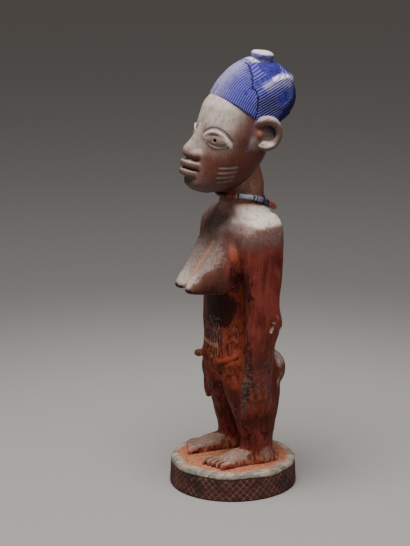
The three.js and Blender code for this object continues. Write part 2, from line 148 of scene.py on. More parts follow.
def bell(value, middle, width):
    """1 at the middle, fading out on both sides."""
    return np.exp(-(((value - middle) / width) ** 2))


def full_turn(count):
    return np.linspace(0, 2 * math.pi, count, endpoint=False)


def circle(radius, turn):
    return np.stack([radius * np.cos(turn), radius * np.sin(turn), 0 * turn], 1)


def unit(vectors):
    return vectors / np.linalg.norm(vectors, axis=-1, keepdims=True)


# Lumpy values in space, the same on every run


def lump_layer(points, size, seed):
    """One layer of smooth lumps of about this size, from 0 to 1."""
    cells = points / size + 211.37 * (seed + 1)
    low = np.floor(cells).astype(np.int64)
    share = cells - low
    share = share * share * (3 - 2 * share)
    total = np.zeros(len(points))
    for corner in product((0, 1), repeat=3):
        place = low + corner
        code = place @ np.array([374761393, 668265263, 1274126177]) + 974711 * seed
        code = (code ^ (code >> 13)) * 1103515245
        code ^= code >> 16
        total += (code & 0xFFFF) / 0xFFFF * np.prod(np.where(corner, share, 1 - share), axis=1)
    return total


def mottle(points, size, seed, layers=3):
    """Lumps upon lumps, from -0.5 to 0.5, each layer half the size and weight of the one before."""
    weights = [0.5**i for i in range(layers)]
    total = sum(w * lump_layer(points, size * w, seed + i) for i, w in enumerate(weights))
    return total / sum(weights) - 0.5


def lumps(points, size, seed):
    """One layer of lumps, from -0.5 to 0.5."""
    return mottle(points, size, seed, layers=1)


# Closed skins, as points and triangles


def facing_out(points, triangles):
    """The skin, turned inside out if the volume that it closes is below 0."""
    a, b, c = (points[triangles[:, i]] for i in range(3))
    volume = np.einsum("ij,ij->i", a, np.cross(b, c)).sum()
    return points, (triangles if volume > 0 else triangles[:, ::-1])


def skin(rings, looped=False):
    """A closed skin over rings of points that all have the same count. Its ends are closed by a fan
    each or, where it is looped, the last ring meets the first."""
    count, around = rings.shape[:2]
    ring, i = np.meshgrid(np.arange(count if looped else count - 1), np.arange(around), indexing="ij")
    a = (ring * around + i).ravel()
    b = (ring * around + (i + 1) % around).ravel()
    c, d = ((k + around) % (count * around) for k in (b, a))
    sides = [np.stack([a, b, c], 1), np.stack([a, c, d], 1)]
    if looped:
        return facing_out(rings.reshape(-1, 3), np.concatenate(sides))
    middles = rings[[0, -1]].mean(axis=1)
    i = np.arange(around)
    j = (i + 1) % around
    last = (count - 1) * around
    first_middle = count * around
    ends = [
        np.stack([j, i, np.full(around, first_middle)], 1),
        np.stack([last + i, last + j, np.full(around, first_middle + 1)], 1),
    ]
    return facing_out(np.concatenate([rings.reshape(-1, 3), middles]), np.concatenate(sides + ends))


def together(forms):
    """Several forms as one."""
    points, triangles, start = [], [], 0
    for form_points, form_triangles in forms:
        points.append(form_points)
        triangles.append(form_triangles + start)
        start += len(form_points)
    return np.concatenate(points), np.concatenate(triangles)


def both_sides(*forms):
    """Each form and its mirrored copy."""
    made = []
    for points, triangles in forms:
        made += [(points, triangles), (points * [-1, 1, 1], triangles[:, ::-1])]
    return made


AROUND = 72


def loft(stations, forward=False, bulges=(0, 0), step=1.0):
    """A form whose cross-sections are rounded outlines. A station gives its place, the middle across
    and along, the reach to each side, the low and high reach, and the squareness. Stations run up, or
    forward along -Y. Each end may bulge out by so much."""
    table = np.array(stations, float)
    places = np.linspace(table[0, 0], table[-1, 0], max(3, round((table[-1, 0] - table[0, 0]) / step)))
    rows = between(table[:, 0], table[:, 1:], places)
    rows = np.concatenate([places[:, None], rows], axis=1)
    turns = np.linspace(0, math.pi / 2, 6)[1:-1]
    for end, bulge in enumerate(bulges):
        if bulge:
            way = 1 if end else -1
            row = rows[-1 if end else 0]
            caps = [np.concatenate([[row[0] + way * bulge * math.sin(t)], row[1:3],
                                    row[3:6] * math.cos(t), row[6:]]) for t in turns]
            rows = np.concatenate([rows, caps] if end else [caps[::-1], rows])
    at, x, middle, reach, low, high, square = (column[:, None] for column in rows.T)
    turn = full_turn(AROUND)[None, :]
    c, s = np.cos(turn), np.sin(turn)
    across = reach * np.sign(c) * np.abs(c) ** (2 / square)
    along = np.where(s < 0, low, high) * np.sign(s) * np.abs(s) ** (2 / square)
    at = np.broadcast_to(at, across.shape)
    parts = (x + across, -at, middle + along) if forward else (x + across, middle + along, at)
    return skin(np.stack(parts, axis=2))


def strand(points, radii, steps=24, sides=16, closing=4):
    """A round strand along a curve, with round ends."""
    centres, shares = curve_through(points, steps)
    radius = between(np.linspace(0, 1, len(radii)), np.array(radii, float)[:, None], shares)[:, 0]
    tangents = unit(np.gradient(centres, axis=0))
    normal = np.cross(tangents[0], [0.3, 0.5, 0.81] if abs(tangents[0][2]) < 0.8 else [1, 0.2, 0])
    turn = full_turn(sides)
    bends = np.linspace(0, math.pi / 2, closing + 2)[1:-1]
    rings = []
    for i, (centre, tangent, r) in enumerate(zip(centres, tangents, radius)):
        normal = unit(normal - tangent * (normal @ tangent))
        section = np.outer(np.cos(turn), normal) + np.outer(np.sin(turn), np.cross(tangent, normal))
        here = [(centre, r)]
        if i == 0:
            here = [(centre - tangent * r * math.sin(b), r * math.cos(b)) for b in bends[::-1]] + here
        if i == len(centres) - 1:
            here = here + [(centre + tangent * r * math.sin(b), r * math.cos(b)) for b in bends]
        rings += [place + size * section for place, size in here]
    return skin(np.array(rings))


def ellipsoid(centre, radii, turned=0.0):
    """An ellipsoid, turned about the upright through its middle."""
    tilt = np.linspace(-math.pi / 2, math.pi / 2, 26)[1:-1, None]
    turn = full_turn(36)[None, :]
    x, y = np.cos(tilt) * np.cos(turn) * radii[0], np.cos(tilt) * np.sin(turn) * radii[1]
    z = np.broadcast_to(np.sin(tilt) * radii[2], x.shape)
    c, s = math.cos(turned), math.sin(turned)
    return skin(np.stack([x * c - y * s, x * s + y * c, z], axis=2) + np.array(centre, float))


def lathed(outline, around, bulge=1.0):
    """A form turned about the upright, from the radius and height of its outline, bottom first. The
    bulge is a factor on the radius at each place round it."""
    r, z = np.array(outline, float).T
    turn = full_turn(around)
    height = np.repeat(z[:, None], around, axis=1)
    x, y = (np.outer(r, bulge * way) for way in (np.cos(turn), np.sin(turn)))
    return skin(np.stack([x, y, height], axis=2))


# Blender meshes in and out


def mesh_of(name, points, triangles):
    mesh = bpy.data.meshes.new(name)
    mesh.vertices.add(len(points))
    mesh.vertices.foreach_set("co", np.asarray(points, np.float32).ravel())
    mesh.loops.add(3 * len(triangles))
    mesh.loops.foreach_set("vertex_index", np.asarray(triangles, np.int32).ravel())
    mesh.polygons.add(len(triangles))
    mesh.polygons.foreach_set("loop_start", np.arange(0, 3 * len(triangles), 3, dtype=np.int32))
    mesh.update(calc_edges=True)
    mesh.validate()
    return mesh


def modified(name, form, kind, **settings):
    """The form after one of Blender's modifiers."""
    piece = bpy.data.objects.new(name, mesh_of(name, *form))
    add(piece)
    modifier = piece.modifiers.new(kind.lower(), kind)
    for key, value in settings.items():
        setattr(modifier, key, value)
    evaluated = piece.evaluated_get(bpy.context.evaluated_depsgraph_get())
    mesh = evaluated.to_mesh()
    mesh.calc_loop_triangles()
    points = np.empty(3 * len(mesh.vertices), np.float32)
    mesh.vertices.foreach_get("co", points)
    triangles = np.empty(3 * len(mesh.loop_triangles), np.int32)
    mesh.loop_triangles.foreach_get("vertices", triangles)
    evaluated.to_mesh_clear()
    data = piece.data
    bpy.data.objects.remove(piece)
    bpy.data.meshes.remove(data)
    return points.reshape(-1, 3).astype(float), triangles.reshape(-1, 3).astype(np.int64)


def eased(points, triangles, passes, share=0.5):
    """The points drawn towards their neighbours so many times."""
    start = triangles.ravel()
    end = np.roll(triangles, -1, axis=1).ravel()
    count = np.bincount(start, minlength=len(points))[:, None]
    for _ in range(passes):
        sums = [np.bincount(start, weights=points[end, k], minlength=len(points)) for k in range(3)]
        points = points + share * (np.stack(sums, axis=1) / count - points)
    return points


def normals_of(points, triangles):
    a, b, c = (points[triangles[:, i]] for i in range(3))
    face = np.cross(b - a, c - a)
    total = np.zeros_like(points)
    for i, k in product(range(3), range(3)):
        total[:, k] += np.bincount(triangles[:, i], weights=face[:, k], minlength=len(points))
    return total / np.maximum(np.linalg.norm(total, axis=1), 1e-12)[:, None]


def fused(forms, grain, passes):
    """Several closed forms as one skin of this grain, a little rounded where they meet."""
    points, triangles = modified("clay", together(forms), "REMESH", mode="VOXEL", voxel_size=grain)
    return facing_out(eased(points, triangles, passes), triangles)


# The carving: trunk, breasts, arms and legs

neck_width = 25.2
neck_depth = 26.4

trunk_stations = [
    (50, 0, 0, 14, 9, 18, 2.2),
    (58, 0, 0, 21, 14.4, 21, 2.3),
    (66, 0, 0, 23.4, 17, 20, 2.3),
    (76, 0, 0, 22.2, 17, 17.6, 2.2),
    (90, 0, 0, 20, 16.2, 15.6, 2.2),
    (106, 0, 0, 19.5, 15.8, 16, 2.2),
    (122, 0, 0, 22, 15.2, 18, 2.3),
    (138, 0, 0, 27, 14.2, 20, 2.5),
    (149, 0, 0.6, 31.5, 13, 20.4, 2.6),
    (155, 0, 4.4, 32.6, 13, 17, 2.6),
    (160, 0, 8, 28, 13.4, 12.8, 2.3),
    (164.4, 0, 8, 19, 15.4, 12.4, 2),
    (168, 0, 6.8, 14.6, 15.6, 14, 2),
    (171, 0, 6.4, neck_width / 2 + 0.2, neck_depth / 2, neck_depth / 2, 2),
    (177, 0, 6.6, neck_width / 2, neck_depth / 2, neck_depth / 2, 2),
    (194, 0, 3, 12, 12, 12, 2),
]
breast_stations = [
    (8, 13, 131, 13, 16, 24, 2.6),
    (14, 12.2, 127, 12.2, 15, 18.6, 2.5),
    (20, 10.3, 122.5, 10.2, 11, 14.2, 2.4),
    (27, 8.8, 118, 8.6, 5.8, 9.6, 2.3),
    (32, 7.7, 115.8, 6.8, 3.3, 5.6, 2.2),
    (35, 7.3, 114.6, 4.2, 1.8, 2.8, 2),
]
arm_stations = [
    (44, 27, 3, 4, 8, 9.4, 2.8),
    (58, 28, 3, 4.8, 9.6, 10, 2.6),
    (78, 29.6, 3, 5.8, 9.2, 11, 2.5),
    (87, 30.4, 4, 6.4, 10, 12.4, 2.4),
    (92, 30.6, 4.6, 6.5, 10.2, 14, 2.4),
    (106, 30.2, 5, 6.6, 10.4, 11.8, 2.5),
    (122, 29.4, 4.8, 6.9, 11.6, 13.8, 2.6),
    (140, 28.3, 4.3, 7.4, 13.2, 15.8, 2.7),
    (151, 27, 5, 7.8, 13, 15.4, 2.7),
    (157, 25, 7, 8, 10.2, 13, 2.5),
    (161.5, 22, 9, 6.6, 7.4, 9.6, 2.2),
]
leg_stations = [
    (0.5, 16.5, 9, 9.6, 10.2, 10.2, 2.1),
    (14, 16.3, 9, 9.6, 10.6, 10.4, 2.1),
    (23, 15.8, 8.6, 10.4, 12.4, 12.4, 2.2),
    (33, 15, 7.6, 11.2, 14.4, 16, 2.2),
    (44, 13.6, 5.8, 11.8, 16.4, 20, 2.2),
    (56, 12.8, 5, 11.8, 18, 21, 2.2),
    (68, 12, 4, 10.6, 17.6, 15, 2.2),
]
foot_stations = [
    (-22.6, 16.6, 0, 4.4, 1.5, 3.4, 2.2),
    (-20, 16.6, 0, 7.4, 1.5, 6.2, 2.3),
    (-8, 16.8, 0, 8.4, 1.5, 9.6, 2.4),
    (3, 17, 0, 8.2, 1.5, 9.4, 2.4),
    (13, 17.4, 0, 8.4, 1.5, 6.6, 2.5),
    (18.6, 17.6, 0, 8.4, 1.5, 4.4, 2.6),
]
finger_tips = [(-4.6, 33), (0.4, 32.4), (5.6, 33), (10.6, 36.6)]
finger_x = 27.2
knuckle_z = 49
thumb = [(29.4, -2.4, 66), (29, -4.8, 58), (28, -6, 50), (27.4, -5.8, 45)]
toe_count = 5
toe_pitch = 3.5
toe_sweep = 1.4  # how far each toe stands behind the one before
toe_radius = 1.8
toe_places = [(11 + i * toe_pitch, -25.8 + i * toe_sweep) for i in range(toe_count)]


def body_forms():
    limbs = [
        loft(breast_stations, forward=True, bulges=(0, 1.2)),
        ellipsoid((11.3, 16.6, 58.4), (12.2, 14, 14)),
        loft(arm_stations, bulges=(0, 1)),
        loft(leg_stations),
        loft(foot_stations, forward=True, bulges=(1, 1)),
    ]
    return [loft(trunk_stations)] + both_sides(*limbs)


def fingers():
    straight = [
        strand([(finger_x + 0.2, 0.94 * y + 0.2, knuckle_z), (finger_x, y, (knuckle_z + z) / 2),
                (finger_x - 1, y, z)], [2.6, 3, 2.9, 2])
        for y, z in finger_tips
    ]
    return straight + [strand(thumb, [2, 2.7, 2.5, 1.6])]


def toes():
    made = []
    for i, (x, y) in enumerate(toe_places):
        radius = 1.2 * toe_radius if i == 0 else toe_radius
        made.append(strand([(x, y + 8, 2.4), (x, y + 4, 3), (x, y + 1.4, 2.2), (x, y + 1, 0.2)],
                           [1.6, radius, radius, 0.9 * radius]))
    return made


def navel():
    return strand([(0, -15, 71), (0, -21, 71), (0, -24.4, 71)], [2, 1.7, 2.5, 2.5], steps=40, sides=24)


# The head has its own upright frame, which leans back on the neck

head_centre = np.array([0, 3, 204.0])
head_lean = math.radians(15)


def leaned(points, angle, centre):
    """Points of an upright frame, leaned back by the angle and put on the centre."""
    c, s = math.cos(angle), math.sin(angle)
    x, y, z = points.T
    return np.stack([x, y * c + z * s, z * c - y * s], axis=1) + centre


def on_neck(form):
    return leaned(form[0], head_lean, head_centre), form[1]


def in_head(points):
    """The same places in the head's own frame."""
    return leaned(points - head_centre, -head_lean, 0)


head_stations = [
    (-33.5, 0, -19, 6, 6, 8, 2),
    (-31.4, 0, -17, 10.8, 11.2, 12, 2.1),
    (-27, 0, -13, 16, 15.6, 17, 2.1),
    (-20, 0, -8, 19.4, 20.4, 18, 2.1),
    (-12, 0, -4.5, 21.3, 23.3, 18.4, 2.2),
    (-3, 0, -2, 22.2, 25.4, 18.5, 2.2),
    (7, 0, -1, 22.6, 27.2, 20, 2.2),
    (17, 0, 0, 22.2, 27.6, 21, 2.2),
    (26, 0, 0, 20.4, 23.6, 20.6, 2.2),
    (35, 0, 1, 12, 14, 17, 2.1),
]


def head_section(z):
    table = np.array(head_stations, float)
    return between(table[:, 0], table[:, 2:], np.atleast_1d(np.asarray(z, float)))


def on_head(turn, z, lift=0.0):
    """A point on the skin of the head. The turn is from straight ahead towards the left ear."""
    middle, w, low, _, square = head_section(z)[0]
    c, s = math.cos(turn - math.pi / 2), math.sin(turn - math.pi / 2)
    x = w * math.copysign(abs(c) ** (2 / square), c)
    y = low * math.copysign(abs(s) ** (2 / square), s)
    away = unit(np.array([x / w**2, y / low**2]))
    return (x + lift * away[0], middle + y + lift * away[1], z)


def head_half_width(y, z):
    middle, w, low, high, square = head_section(z).T
    share = np.minimum(1, np.abs(y - middle) / np.where(y < middle, low, high))
    return w * (1 - share**square) ** (1 / square)


# The face stands on even thirds: hairline to brow, brow to the nose's base, and that to the chin

hairline_z = 25.5
chin_z = -33
third = (hairline_z - chin_z) / 3
brow_z = hairline_z - third
nose_z = brow_z - third
mouth_z = nose_z - 0.4 * third
eye_z = brow_z - 0.32 * third
eye_turn = math.radians(37)
eye_span = math.radians(23)
eye_height = 5
pupil_radius = 1.1
pupil_depth = 2.6


def lid_points(side, lift, spread=0.0):
    """The line of a lid from the inner to the outer corner: side is above or below the eye."""
    return [
        on_head(eye_turn + (eye_span + 0.02 * spread) * t,
                eye_z + side * (eye_height * (1 - t * t) + spread) - 0.6 * t, lift)
        for t in np.linspace(-1, 1, 9)
    ]


def eyes():
    ball = ellipsoid(on_head(eye_turn, eye_z, -2.1), (8, 3.8, eye_height - 0.4), 0.95 * eye_turn)
    upper = strand(lid_points(1, 0.2), [0.4, 1.0, 1.35, 1.1, 0.4], steps=40)
    lower = strand(lid_points(-0.8, 0.1), [0.4, 0.7, 0.85, 0.7, 0.4], steps=40)
    return both_sides(ball, upper, lower)


nose_stations = [
    (nose_z - 2, 0, -25, 4.6, 6, 2, 2),
    (nose_z, 0, -25, 6, 10.4, 2, 2),
    (nose_z + 3.5, 0, -25, 5, 11, 2, 2),
    (nose_z + 10, 0, -25, 3.6, 7.6, 2, 2),
    (brow_z, 0, -25, 2.8, 4, 2, 2),
    (brow_z + 5, 0, -25, 1.6, 2, 2, 2),
]


def nose():
    wings = both_sides(ellipsoid((5.4, -28.6, nose_z + 1.4), (2.9, 4, 2.8)))
    return [loft(nose_stations, bulges=(1, 0))] + wings


def lips():
    half_height = 2.5
    parting = 2.7
    made = []
    for z, reach, low in ((mouth_z + parting, 9.6, 14.6), (mouth_z - parting, 9, 14)):
        made.append(loft([
            (z - half_height, 0, -20, reach - 2.4, low - 2.6, 5, 2.4),
            (z - 0.55 * half_height, 0, -20, reach, low, 5, 2.6),
            (z + 0.55 * half_height, 0, -20, reach, low, 5, 2.6),
            (z + half_height, 0, -20, reach - 2.4, low - 2.6, 5, 2.4),
        ], step=0.4))
    return made


def ears():
    rim = strand(
        [(20.4, -3, 13.6), (23.2, 1, 18), (25, 6.4, 19), (25.8, 11, 16), (25.8, 12.8, 11),
         (24.8, 11.4, 5.4), (23, 7, 2.4), (20.6, 2.4, 2.6)],
        [1.6, 2.9, 3.1, 2.5, 2.1, 2.3, 2.6, 1.4], steps=60)
    bowl = ellipsoid((19.2, 7, 9.4), (5, 7.4, 8.8))
    lobe = ellipsoid((22.8, 8, 4), (2.4, 4.6, 2.6))
    knob = ellipsoid((22, 1.8, 9.6), (2.2, 2.6, 3))
    return both_sides(rim, bowl, lobe, knob)


# What the knife and the years did to the body


def line_distance(points, line):
    """How far each point is from a bent line, and how far along the line its nearest place is."""
    line = np.asarray(line, float)
    best = np.full(len(points), np.inf)
    share = np.zeros(len(points))
    for i, (a, b) in enumerate(zip(line, line[1:])):
        along = b - a
        t = np.clip((points - a) @ along / (along @ along), 0, 1)
        distance = np.linalg.norm(points - a - t[:, None] * along, axis=1)
        nearer = distance < best
        best = np.where(nearer, distance, best)
        share = np.where(nearer, (i + t) / (len(line) - 1), share)
    return best, share


def as_left(points):
    """The same places, with those on the right side mirrored onto the left."""
    return np.column_stack([np.abs(points[:, 0]), points[:, 1:]])


def along_line(points, line, reach, soft):
    """1 near a bent line in space, 0 away from it. The same on both sides of the body."""
    distance = line_distance(as_left(points), line)[0]
    return fall(distance, reach - soft, reach + soft)


def around_spot(points, centre, reach, soft=0.3):
    """1 inside a spot of this reach, 0 outside. The same on both sides of the body."""
    away = np.linalg.norm((as_left(points) - centre) / reach, axis=1)
    return fall(away, 1 - soft, 1 + soft)


# Lines and spots on the left side of the body, which the right side repeats
armpit_line = [(22.8, -12, 143), (24.7, -10.1, 134.6), (24.6, -8.4, 126), (20.6, -4, 116),
               (19.6, -1.9, 108), (19.8, -1.2, 95)]
arm_edge_line = [(21, -1.5, 95), (28.9, -5.7, 81.6), (28.2, -6, 68.4), (28.6, -5.4, 54)]
belt_line = np.array([(0, -18.5, 61.6), (8, -17, 63), (16, -13, 66.4), (21, -7, 70)])
elbow_chips = [((35.4, 13.8, 98.4), 1.1), ((33.6, 16.2, 89.8), 1.7), ((36.4, 9.9, 95.3), 1),
               ((36.6, 8.4, 91), 1.2)]

cheek_marks = 4
cheek_mark_pitch = 3.1
stroke_bands = [(88, 94.6), (79.4, 85.6), (68.8, 75)]  # the marks on the belly, from top to bottom
stroke_pitch = 2.3
pupil_axis = np.array([math.sin(eye_turn), -math.cos(eye_turn), 0])


def middles_between(places):
    return [(a[0] + b[0]) / 2 for a, b in zip(places, places[1:])]


finger_gap_places = middles_between(finger_tips)
toe_gap_places = middles_between(toe_places)


def cheek_depth(points):
    """The four shallow marks on each cheek: they rise a little towards the ear."""
    head = in_head(points)
    turn = np.arctan2(np.abs(head[:, 0]), -(head[:, 1] + 3))
    reach = rise(turn, 0.80, 0.92) * fall(turn, 1.32, 1.42)
    depth = np.zeros(len(points))
    for i in range(cheek_marks):
        line = mouth_z + 5.4 - cheek_mark_pitch * i + 4.2 * (turn - 0.8) + 3 * (turn - 0.8) ** 2
        depth = most(depth, bell(head[:, 2], line, 0.75))
    return depth * reach * (head[:, 1] < 6)


def stroke_depth(points):
    """Bands of short upright strokes across the front of the belly."""
    x, y, z = points.T
    around = 18 * np.arctan2(x, -y)
    wander = 0.5 * lumps(points, 4, 31)
    pattern = 0.5 + 0.5 * np.cos(2 * math.pi * (around + wander + 0.1 * z) / stroke_pitch)
    depth = np.zeros(len(points))
    for low, high in stroke_bands:
        depth += window(z, low, high, 0.5)
    side = np.abs(around) + 6 * lumps(points, 6, 33)
    return depth * pattern**2 * fall(side, 11, 14) * (y < 0)


def digit_gaps(places, gaps, width=0.55):
    """1 in the gaps between fingers or toes."""
    return np.maximum.reduce([bell(places, gap, width) for gap in gaps])


def toe_gap_depth(points):
    x, y, z = points.T
    sweep = toe_sweep / toe_pitch * (np.abs(x) - toe_places[0][0])
    return digit_gaps(np.abs(x), toe_gap_places, 0.7) * rise(sweep - y, 19, 21.5) * (z < 6)


def pupil_share(head):
    """1 inside the bored pupils, 0 outside."""
    away = as_left(head) - on_head(eye_turn, eye_z, 1.5)
    depth = away @ pupil_axis
    distance = np.linalg.norm(away - depth[:, None] * pupil_axis, axis=1)
    return fall(distance, 0.72 * pupil_radius, 1.12 * pupil_radius) * (np.abs(depth) < 6)


def carved(points, triangles):
    """The skin with its marks cut in, and the unevenness of hand carving."""
    normals = normals_of(points, triangles)
    head = in_head(points)
    on_face = rise(head[:, 2], -36, -30)
    lift = 0.5 * lumps(points, 13, 3) + 0.28 * lumps(points, 4.5, 5)
    lift *= 1 - 0.65 * on_face
    belt = along_line(points, belt_line, 0.8, 0.7)
    lift -= 0.6 * cheek_depth(points) + 0.7 * stroke_depth(points) + 0.5 * belt
    lift += 0.6 * along_line(points, belt_line + [0, 0, 2.2], 1.2, 1.2) - 1.1 * toe_gap_depth(points)
    lift -= 0.5 * sum(around_spot(points, place, size) for place, size in elbow_chips) * (points[:, 0] > 0)
    knuckles = window(points[:, 2], 32, 50, 2) * (np.abs(points[:, 0]) > 24)
    lift -= 0.5 * knuckles * digit_gaps(points[:, 1], finger_gap_places)
    distance, share = line_distance(as_left(head), lid_points(1, 0.4, spread=2.5))
    lift -= 0.6 * bell(distance, 0, 0.6) * (1 - bell(share, 0, 0.12)) * (1 - bell(share, 1, 0.12))
    moved = points + normals * lift[:, None]
    sunk = pupil_depth * pupil_share(in_head(moved))
    inward = -pupil_axis * np.column_stack([np.sign(moved[:, 0]), np.ones((len(moved), 2))])
    return moved + sunk[:, None] * leaned(inward, head_lean, 0)


# Paint, powder, wear, and painted sheen and shade, each from 0 to 1 at every point


def openness(points, triangles, normals, reach, rays):
    """How much of the sky over each point is free of the carving itself."""
    cast = BVHTree.FromPolygons(points.tolist(), triangles.tolist()).ray_cast
    golden = math.pi * (3 - math.sqrt(5))
    free = np.zeros(len(points))
    helper = np.where(np.abs(normals[:, 2:]) < 0.9, [[0, 0, 1.0]], [[1.0, 0, 0]])
    side = unit(np.cross(normals, helper))
    other = np.cross(normals, side)
    starts = (points + 0.25 * normals).tolist()
    for i in range(rays):
        share = (i + 0.5) / rays
        tilt = math.sqrt(share)
        c, s = tilt * math.cos(golden * i), tilt * math.sin(golden * i)
        way = normals * math.sqrt(1 - share) + side * c + other * s
        hits = [cast(start, direction, reach)[3] for start, direction in zip(starts, way.tolist())]
        free += np.array([1.0 if hit is None else (hit / reach) ** 0.7 for hit in hits])
    return free / rays


def hollows(points, triangles, normals, passes):
    """Above 0 in hollows and below 0 on ridges, in millimetres, at the scale of so many passes."""
    return np.einsum("ij,ij->i", eased(points, triangles, passes) - points, normals)


# The taupe and pale layers hold painted sheen as well as wear, and the dark and line layers hold painted
# shade as well as dark stain and grime.
LAYERS = ("pale", "taupe", "umber", "dark", "camwood", "powder", "lichen", "blue", "line", "seam")


def torso_paint(points, up, sky, rough, coarse):
    """The chest, breasts, shoulders and belly. The white patch lies on the left shoulder alone. Painted
    sheen lies on the upward faces of the breasts and shoulders, and painted shade lies under the breasts,
    in the armpits, on the arms' fronts and where the carving closes over the skin.
    """
    x, y, z = points.T
    side = np.abs(x)
    front = rise(-y, -6, 4)
    patch = rise(z + 3.4 * rough + 2.6 * coarse, 154.6, 158.4) * rise(x + 9 * rough, 5, 14)
    patch = patch * rise(y + 7 * rough, -9, -1) * fall(z + 3 * coarse, 165, 168.5)
    upper_arm = window(z + 9 * rough + 4 * coarse, 144, 160, 9) * rise(side, 15, 24)
    neck_foot = window(z, 159, 172, 3)
    # Painted sheen with wear: the upward faces of the shoulders, greyed where the top light falls.
    shoulder = rise(up + 0.5 * rough, 0.1, 0.7) * rise(z, 146, 156) * fall(z, 161, 168)
    breast = rise(-y + 8 * rough, 11, 21) * window(z, 112, 141, 2)
    # Painted sheen: the upward faces of the breasts, paler towards the tips.
    breast_top_sheen = breast * rise(up + 0.6 * rough + 0.5 * coarse - 0.04 * (side - 6), -0.12, 0.5)
    chest = front * window(z, 129, 164, 6) * fall(side + 8 * rough, 18, 28)
    cleft = along_line(points, [(0, -14, 141), (0, -20, 131), (0, -26, 122), (0, -33, 115)], 2.6, 1.1)
    armpit = around_spot(points, (20, -9, 149), 10, 0.5)
    strip = along_line(points, armpit_line, 2.9, 1.6)
    edge = along_line(points, arm_edge_line, 1.6, 1.4)
    root = along_line(points, [(8, -18, 112), (14, -15, 112), (18, -10, 111), (20, -4, 108)], 2.8, 1.5)
    belly = window(z + 5 * rough + 8 * coarse, 91, 113, 4) * front * fall(side + 5 * rough, 15.5, 21)
    flank = around_spot(points, (16.5, -7, 83), (7.5, 10, 15), 0.5)
    arm_shade = window(z + 8 * rough, 56, 136, 14) * rise(side, 22, 25) * rise(-y + 7 * rough, -2, 10)
    nipple = around_spot(points, (7, -36, 113.6), (6, 3.2, 4.4))
    bands = np.maximum.reduce([window(z, low - 1, high + 1, 1) for low, high in stroke_bands])
    bands = bands * fall(side, 10, 15) * rise(-y, 4, 9)
    low_band = bands * fall(z, 76, 77)
    plain = window(z, 75.4, 79, 0.8) * fall(side, 9, 14) * rise(-y, 4, 9)
    return {
        "pale": most(patch, 0.6 * breast_top_sheen * rise(-y, 22, 34)),
        "taupe": most(
            breast_top_sheen, 0.6 * chest * (1 - 0.7 * armpit), 0.42 * upper_arm, 0.65 * shoulder * (x > 0),
            0.45 * shoulder, 0.46 * bands * rise(z, 74, 80) * rise(coarse, -0.4, -0.1),
            0.4 * flank * rise(coarse, 0.02, 0.1), 0.4 * neck_foot,
        ),
        "umber": most(0.8 * chest, upper_arm, shoulder, breast, neck_foot),
        # The dark layer here is dark stain on the nipples and flanks, and painted shade. The shade lies on
        # the belly under the breasts, which is partly its own dark colour, on the shaded front of the arms,
        # in the armpits, on the breasts' undersides and where the carving closes over the skin.
        "dark": most(
            belly, 0.68 * arm_shade, 0.5 * armpit, 0.9 * nipple, 0.5 * flank,
            0.55 * breast * rise(-up, -0.3, 0.6), 0.8 * window(z, 60, 140, 10) * rise(0.35 - sky, 0, 0.3),
        ),
        "camwood": most(
            0.6 * strip, 0.7 * edge, 0.75 * root, 0.75 * flank, 0.3 * armpit, low_band,
        ),
        "powder": most(
            cleft, 0.25 * strip * rise(z, 118, 128), 0.4 * low_band, 0.6 * plain, 0.35 * neck_foot,
        ),
        "seam": 0.5 * root * rise(coarse, -0.1, 0.1),
        # The line layer darkens the belly's strokes, the belt groove, the nipples and the navel: grime with
        # painted shade in the cuts.
        "line": most(
            stroke_depth(points), 0.6 * along_line(points, belt_line, 0.7, 0.6), 0.4 * nipple,
            0.5 * (side < 6) * (z > 66) * (z < 76) * rise(-y, 18.5, 20),
        ),
    }


